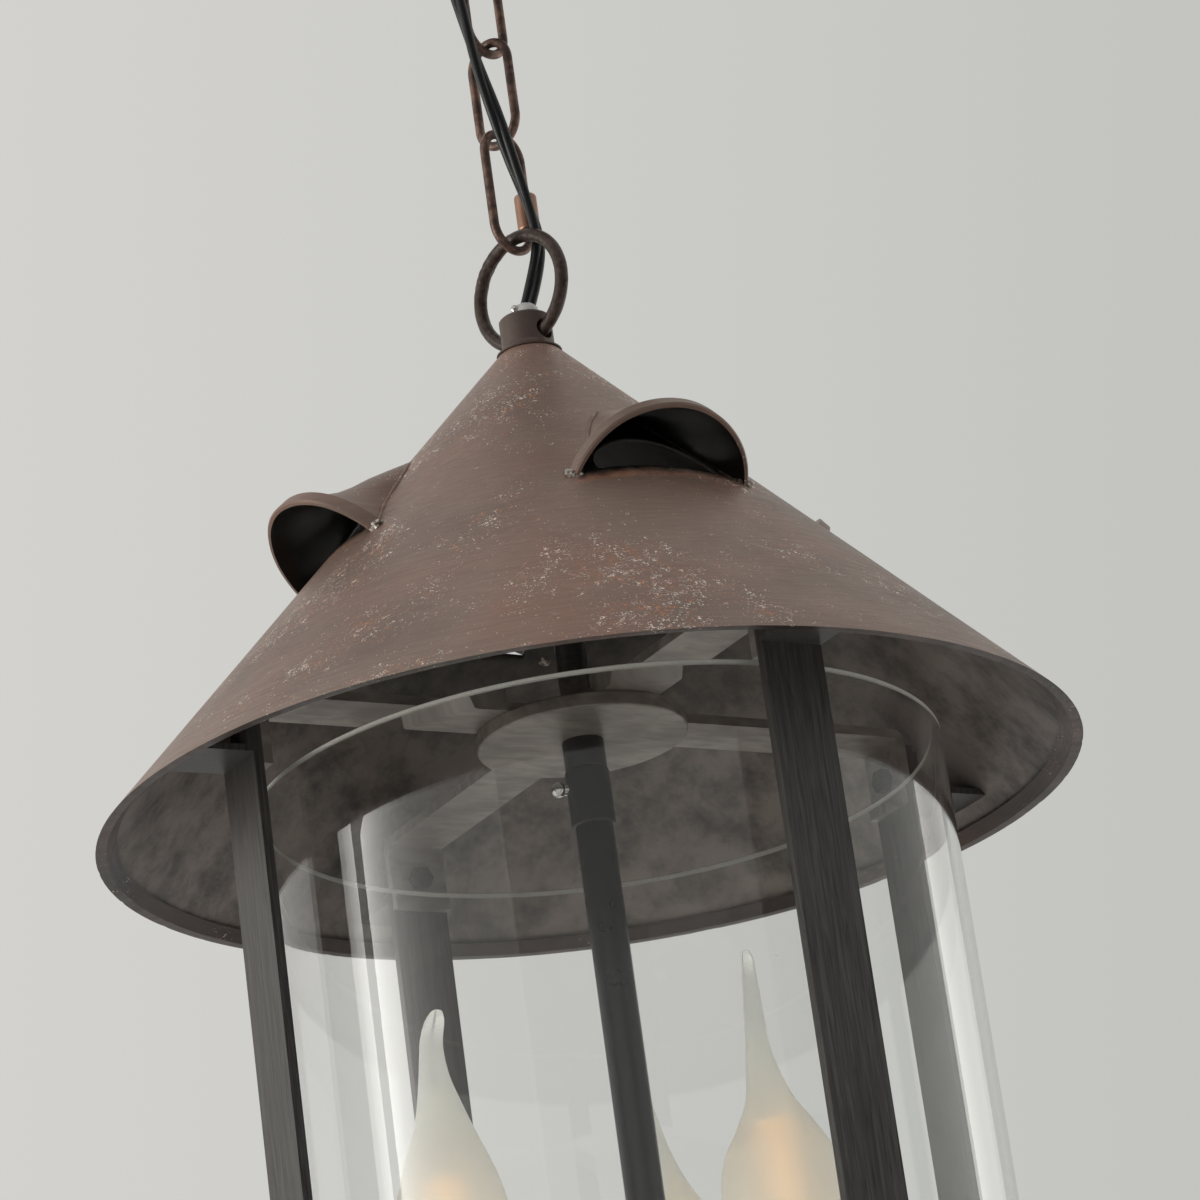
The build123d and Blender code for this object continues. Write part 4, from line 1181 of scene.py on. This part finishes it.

# Bulbs
# Blown frosted glass with a drawn-out bent tail that ends in a clear bead, on a plated screw base.
# Amber filament columns show through the frost as a soft warm band, which is a painted glow.

# A station gives a height, a radius and the tail's sway. Each tail was drawn out by hand, so
# the three differ.
bulb_foot = ((0.0, 8.0, 0.0), (4.9, 10.0, 0.0), (13.7, 14.9, 0.0))
bulb_shapes = (
    (
        *bulb_foot,
        (25.5, 17.5, 0.2),
        (37.2, 17.0, 0.9),
        (46.0, 14.8, 1.5),
        (53.9, 12.2, 1.5),
        (62.0, 9.0, 1.6),
        (70.0, 6.6, 1.3),
        (78.4, 4.6, 0.8),
        (86.0, 3.6, 0.9),
        (90.2, 3.4, 1.4),
        (95.5, 2.9, 2.9),
        (98.0, 1.8, 3.7),
    ),
    (
        *bulb_foot,
        (25.5, 17.5, 0.0),
        (37.2, 15.8, -0.2),
        (46.0, 11.2, -0.5),
        (53.9, 7.0, 0.2),
        (64.7, 4.3, 1.5),
        (71.0, 3.4, 1.7),
        (78.4, 2.9, 1.4),
        (90.2, 2.2, 0.9),
        (95.5, 2.0, 0.8),
        (98.0, 1.4, 0.9),
    ),
    (
        *bulb_foot,
        (25.5, 17.5, 0.0),
        (37.2, 15.8, 0.2),
        (46.0, 11.0, 0.6),
        (53.9, 6.9, 1.4),
        (64.7, 4.2, 3.1),
        (78.4, 2.8, 5.0),
        (90.2, 2.1, 6.2),
        (95.5, 1.9, 6.8),
        (98.0, 1.4, 7.1),
    ),
)
# Frosted glass: etched, with a clear bead at the end of its tail. Its faint emission is a painted glow,
# standing in for light through the unlit bulb.
frost_end = -0.420
bead_start = -0.412
frosted, tree = new_material("frosted_bulb_glass")
place = add(tree, "ShaderNodeTexCoord")
parts = add(tree, "ShaderNodeSeparateXYZ", None, {0: place.outputs["Object"]})
bulb_frost = add(
    tree,
    "ShaderNodeTexNoise",
    {"Scale": 60.0, "Detail": 3.0},
    {"Vector": place.outputs["Object"]},
)
tail = add(
    tree,
    "ShaderNodeMapRange",
    {"From Min": frost_end, "From Max": bead_start},
    {"Value": parts.outputs[2]},
)
cloudy = add(
    tree,
    "ShaderNodeMapRange",
    {"To Min": 0.46, "To Max": 0.6},
    {"Value": bulb_frost.outputs[0]},
)
sheen = add(tree, "ShaderNodeMix", {3: 0.06}, {0: tail.outputs[0], 2: cloudy.outputs[0]})
clear_share = add(
    tree,
    "ShaderNodeMapRange",
    {"From Min": frost_end, "From Max": bead_start, "To Min": 0.45, "To Max": 0.85},
    {"Value": parts.outputs[2]},
)
tone = add(
    tree,
    "ShaderNodeMix",
    {"data_type": "RGBA", 6: linear("#F3F3EE"), 7: linear("#E7E7E0")},
    {0: bulb_frost.outputs[0]},
)
finish_material(
    tree,
    {"IOR": 1.46, "Emission Color": linear("#E9EAE4"), "Emission Strength": 0.14},
    {
        "Base Color": tone.outputs[2],
        "Roughness": sheen.outputs[0],
        "Transmission Weight": clear_share.outputs[0],
    },
)
# Amber phosphor: a coat of grains over the filament's chips. Its warm emission is a painted glow, as the
# bulbs are unlit.
painted_glow_amber = mottled(
    "painted_glow_amber_phosphor",
    ("#E8A850", "#D99A4C"),
    {"Scale": 320.0, "Detail": 3.0},
    {"Roughness": 0.6, "Emission Color": linear("#FFCB7C"), "Emission Strength": 2.2},
)
# Nickel plate: a soft shine on the pressed screw base.
nickel = plated_steel("nickel_plate", "#C9C5B8", "#9F9B90", (700, 700, 1400), 0.22)


def smooth_between(stations, height, column):
    """Value of a column at a height, eased between stations."""
    lower = 0
    while lower < len(stations) - 2 and stations[lower + 1][0] < height:
        lower += 1
    p1, p2 = stations[lower], stations[lower + 1]
    p0 = stations[max(lower - 1, 0)]
    p3 = stations[min(lower + 2, len(stations) - 1)]
    t = min(max((height - p1[0]) / (p2[0] - p1[0]), 0), 1)
    span = p2[0] - p1[0]
    m1 = (p2[column] - p0[column]) / (p2[0] - p0[0]) * span
    m2 = (p3[column] - p1[column]) / max(p3[0] - p1[0], 0.001) * span
    low_part = (2 * t**3 - 3 * t**2 + 1) * p1[column] + (t**3 - 2 * t**2 + t) * m1
    return low_part + (3 * t**2 - 2 * t**3) * p2[column] + (t**3 - t**2) * m2


seat_height_mm = -508.0
bulb_length = 98.0
bulb_wall = 0.8
solid_from = 74.0
# Where each bulb stands, and the way in which its tail leans.
bulb_seats_mm = ((-58.778, 13.462, 58.0), (13.495, -52.183, -80.0), (37.527, 43.169, 240.0))
for number, (seat_x, seat_y, tip_turn) in enumerate(bulb_seats_mm, 1):
    stations = bulb_shapes[number - 1]
    lean = Vector((math.sin(math.radians(tip_turn)), -math.cos(math.radians(tip_turn)), 0))
    seat = Vector((seat_x, seat_y, seat_height_mm))
    heights = [bulb_length * (i / 84) for i in range(85)]

    def bulb_ring(height, inset, narrow=1.0):
        """A ring of the outer skin, or of the inner one when it is inset."""
        radius = max(smooth_between(stations, height, 1) - inset, 0.25) * narrow
        middle = seat + lean * smooth_between(stations, height, 2) + Vector((0, 0, height))
        return [
            (middle + Vector((math.cos(angle), math.sin(angle), 0)) * radius) / 1000
            for angle in angles(56)
        ]

    rings = [bulb_ring(h, bulb_wall) for h in reversed(heights) if h < solid_from]
    rings += [bulb_ring(h, 0.0) for h in heights]
    # Two last rings close the bead.
    rings += [bulb_ring(98.35, 0.0, 0.75), bulb_ring(98.6, 0.0, 0.35)]
    bulb = piece(f"bulb_shell_{number}", ringed(rings), [frosted], 60)
    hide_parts(f"bulb_glass_{number}")
    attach(bulb, f"bulb_{number}")
    paint(painted_glow_amber, f"bulb_filament_{number}")
    paint(nickel, f"bulb_base_{number}")

# Floor, backdrop and light
# A pale floor below and an even grey sky around. Tall glowing cards at the left, and a narrow
# one at the right, are what the glass reflects.
floor_half = 60
floor_height = -1.25
floor_corners = [
    (x * floor_half, y * floor_half, floor_height) for x, y in ((-1, -1), (1, -1), (1, 1), (-1, 1))
]
floor_mesh = bpy.data.meshes.new("floor")
floor_mesh.from_pydata(floor_corners, [], [(0, 1, 2, 3)])
floor = bpy.data.objects.new("floor", floor_mesh)
scene.collection.objects.link(floor)
# Painted floor: matt and nearly even.
pale = mottled("pale_floor", ("#DEDDD8", "#DAD9D4"), {"Scale": 2.0}, {"Roughness": 0.8})
floor_mesh.materials.append(pale)


def upright_card(name, centre, width, height, sides):
    """A standing card that faces the lamp, made of a few columns."""
    middle = Vector(centre)
    facing = Vector((-middle.x, -middle.y, 0)).normalized()
    left = Vector((0, 0, 1)).cross(facing)
    vertices = []
    for step in range(sides + 1):
        for lift in (-0.5, 0.5):
            vertices.append(middle + left * width * (step / sides - 0.5) + Vector((0, 0, lift * height)))
    faces = [(2 * i, 2 * i + 2, 2 * i + 3, 2 * i + 1) for i in range(sides)]
    mesh = bpy.data.meshes.new(name)
    mesh.from_pydata([tuple(v) for v in vertices], [], faces)
    made = bpy.data.objects.new(name, mesh)
    scene.collection.objects.link(made)
    return made, left


# Each card glows like a window with thin curtains: brighter at one side than at the other.
for name, centre, width, height, bright, dim in (
    ("window_near", (-2.0, 0.0, -0.42), 1.9, 1.5, 8.0, 0.5),
    ("window_far", (-1.5, 1.3, -0.42), 0.85, 1.5, 0.8, 6.0),
    ("window_right", (1.9, 0.32, -0.35), 0.7, 1.4, 2.8, 1.2),
):
    card, left = upright_card(name, centre, width, height, 12)
    glow, tree = new_material(name)
    place = add(tree, "ShaderNodeTexCoord")
    over = add(
        tree,
        "ShaderNodeVectorMath",
        {"operation": "DOT_PRODUCT", 1: tuple(left)},
        {0: place.outputs["Object"]},
    )
    start = Vector(centre).dot(left)
    bright_at = start + math.copysign(width / 2, bright - dim)
    share = add(
        tree,
        "ShaderNodeMapRange",
        {"From Min": 2 * start - bright_at, "From Max": bright_at},
        {"Value": over.outputs["Value"]},
    )
    steep = add(tree, "ShaderNodeMath", {"operation": "POWER", 1: 4.0}, {0: share.outputs[0]})
    power = add(
        tree,
        "ShaderNodeMath",
        {"operation": "MULTIPLY_ADD", 1: abs(bright - dim), 2: min(bright, dim)},
        {0: steep.outputs[0]},
    )
    lit = add(tree, "ShaderNodeEmission", {"Color": linear("#FFFDF8")}, {"Strength": power.outputs[0]})
    add(tree, "ShaderNodeOutputMaterial", None, {"Surface": lit.outputs[0]})
    card.data.materials.append(glow)
    card.visible_camera = False
    card.visible_transmission = False

# A dark cloth stands behind the camera and is seen in reflections only. It keeps the sky's
# reflection off the clear glass, which so shows what is inside it.
flag, _ = upright_card("dark_cloth", (-0.6, -2.84, 0.6), 7.4, 3.6, 6)
cloth = mottled("dark_cloth", ("#4A4A49", "#525251"), {"Scale": 30.0}, {"Roughness": 0.9})
flag.data.materials.append(cloth)
flag.visible_camera = False
flag.visible_transmission = False
flag.visible_diffuse = False
flag.visible_shadow = False

# The camera, reflections and clear glass see a grey backdrop that darkens a little to the right;
# all other light comes from an even sky.
world = bpy.data.worlds.new("studio")
world.use_nodes = True
scene.world = world
tree = world.node_tree
tree.nodes.clear()
way = add(tree, "ShaderNodeTexCoord")
sideways = add(
    tree,
    "ShaderNodeVectorMath",
    {"operation": "DOT_PRODUCT", 1: tuple(to_right)},
    {0: way.outputs["Generated"]},
)
side_share = add(
    tree,
    "ShaderNodeMapRange",
    {"From Min": -0.13, "From Max": 0.15},
    {"Value": sideways.outputs["Value"]},
)
backdrop = add(
    tree,
    "ShaderNodeMix",
    {"data_type": "RGBA", 6: linear("#D3D2CE"), 7: linear("#C2C3BF")},
    {0: side_share.outputs[0]},
)
rays = add(tree, "ShaderNodeLightPath")
seen_a = add(
    tree,
    "ShaderNodeMath",
    {"operation": "MAXIMUM"},
    {0: rays.outputs["Is Camera Ray"], 1: rays.outputs["Is Glossy Ray"]},
)
seen = add(
    tree,
    "ShaderNodeMath",
    {"operation": "MAXIMUM"},
    {0: seen_a.outputs[0], 1: rays.outputs["Is Transmission Ray"]},
)
light_sky = add(tree, "ShaderNodeBackground", {"Color": linear("#E4E4E6"), "Strength": 0.85})
seen_sky = add(tree, "ShaderNodeBackground", {"Strength": 1.0}, {"Color": backdrop.outputs[2]})
sky = add(
    tree,
    "ShaderNodeMixShader",
    None,
    {0: seen.outputs[0], 1: light_sky.outputs[0], 2: seen_sky.outputs[0]},
)
add(tree, "ShaderNodeOutputWorld", None, {"Surface": sky.outputs[0]})
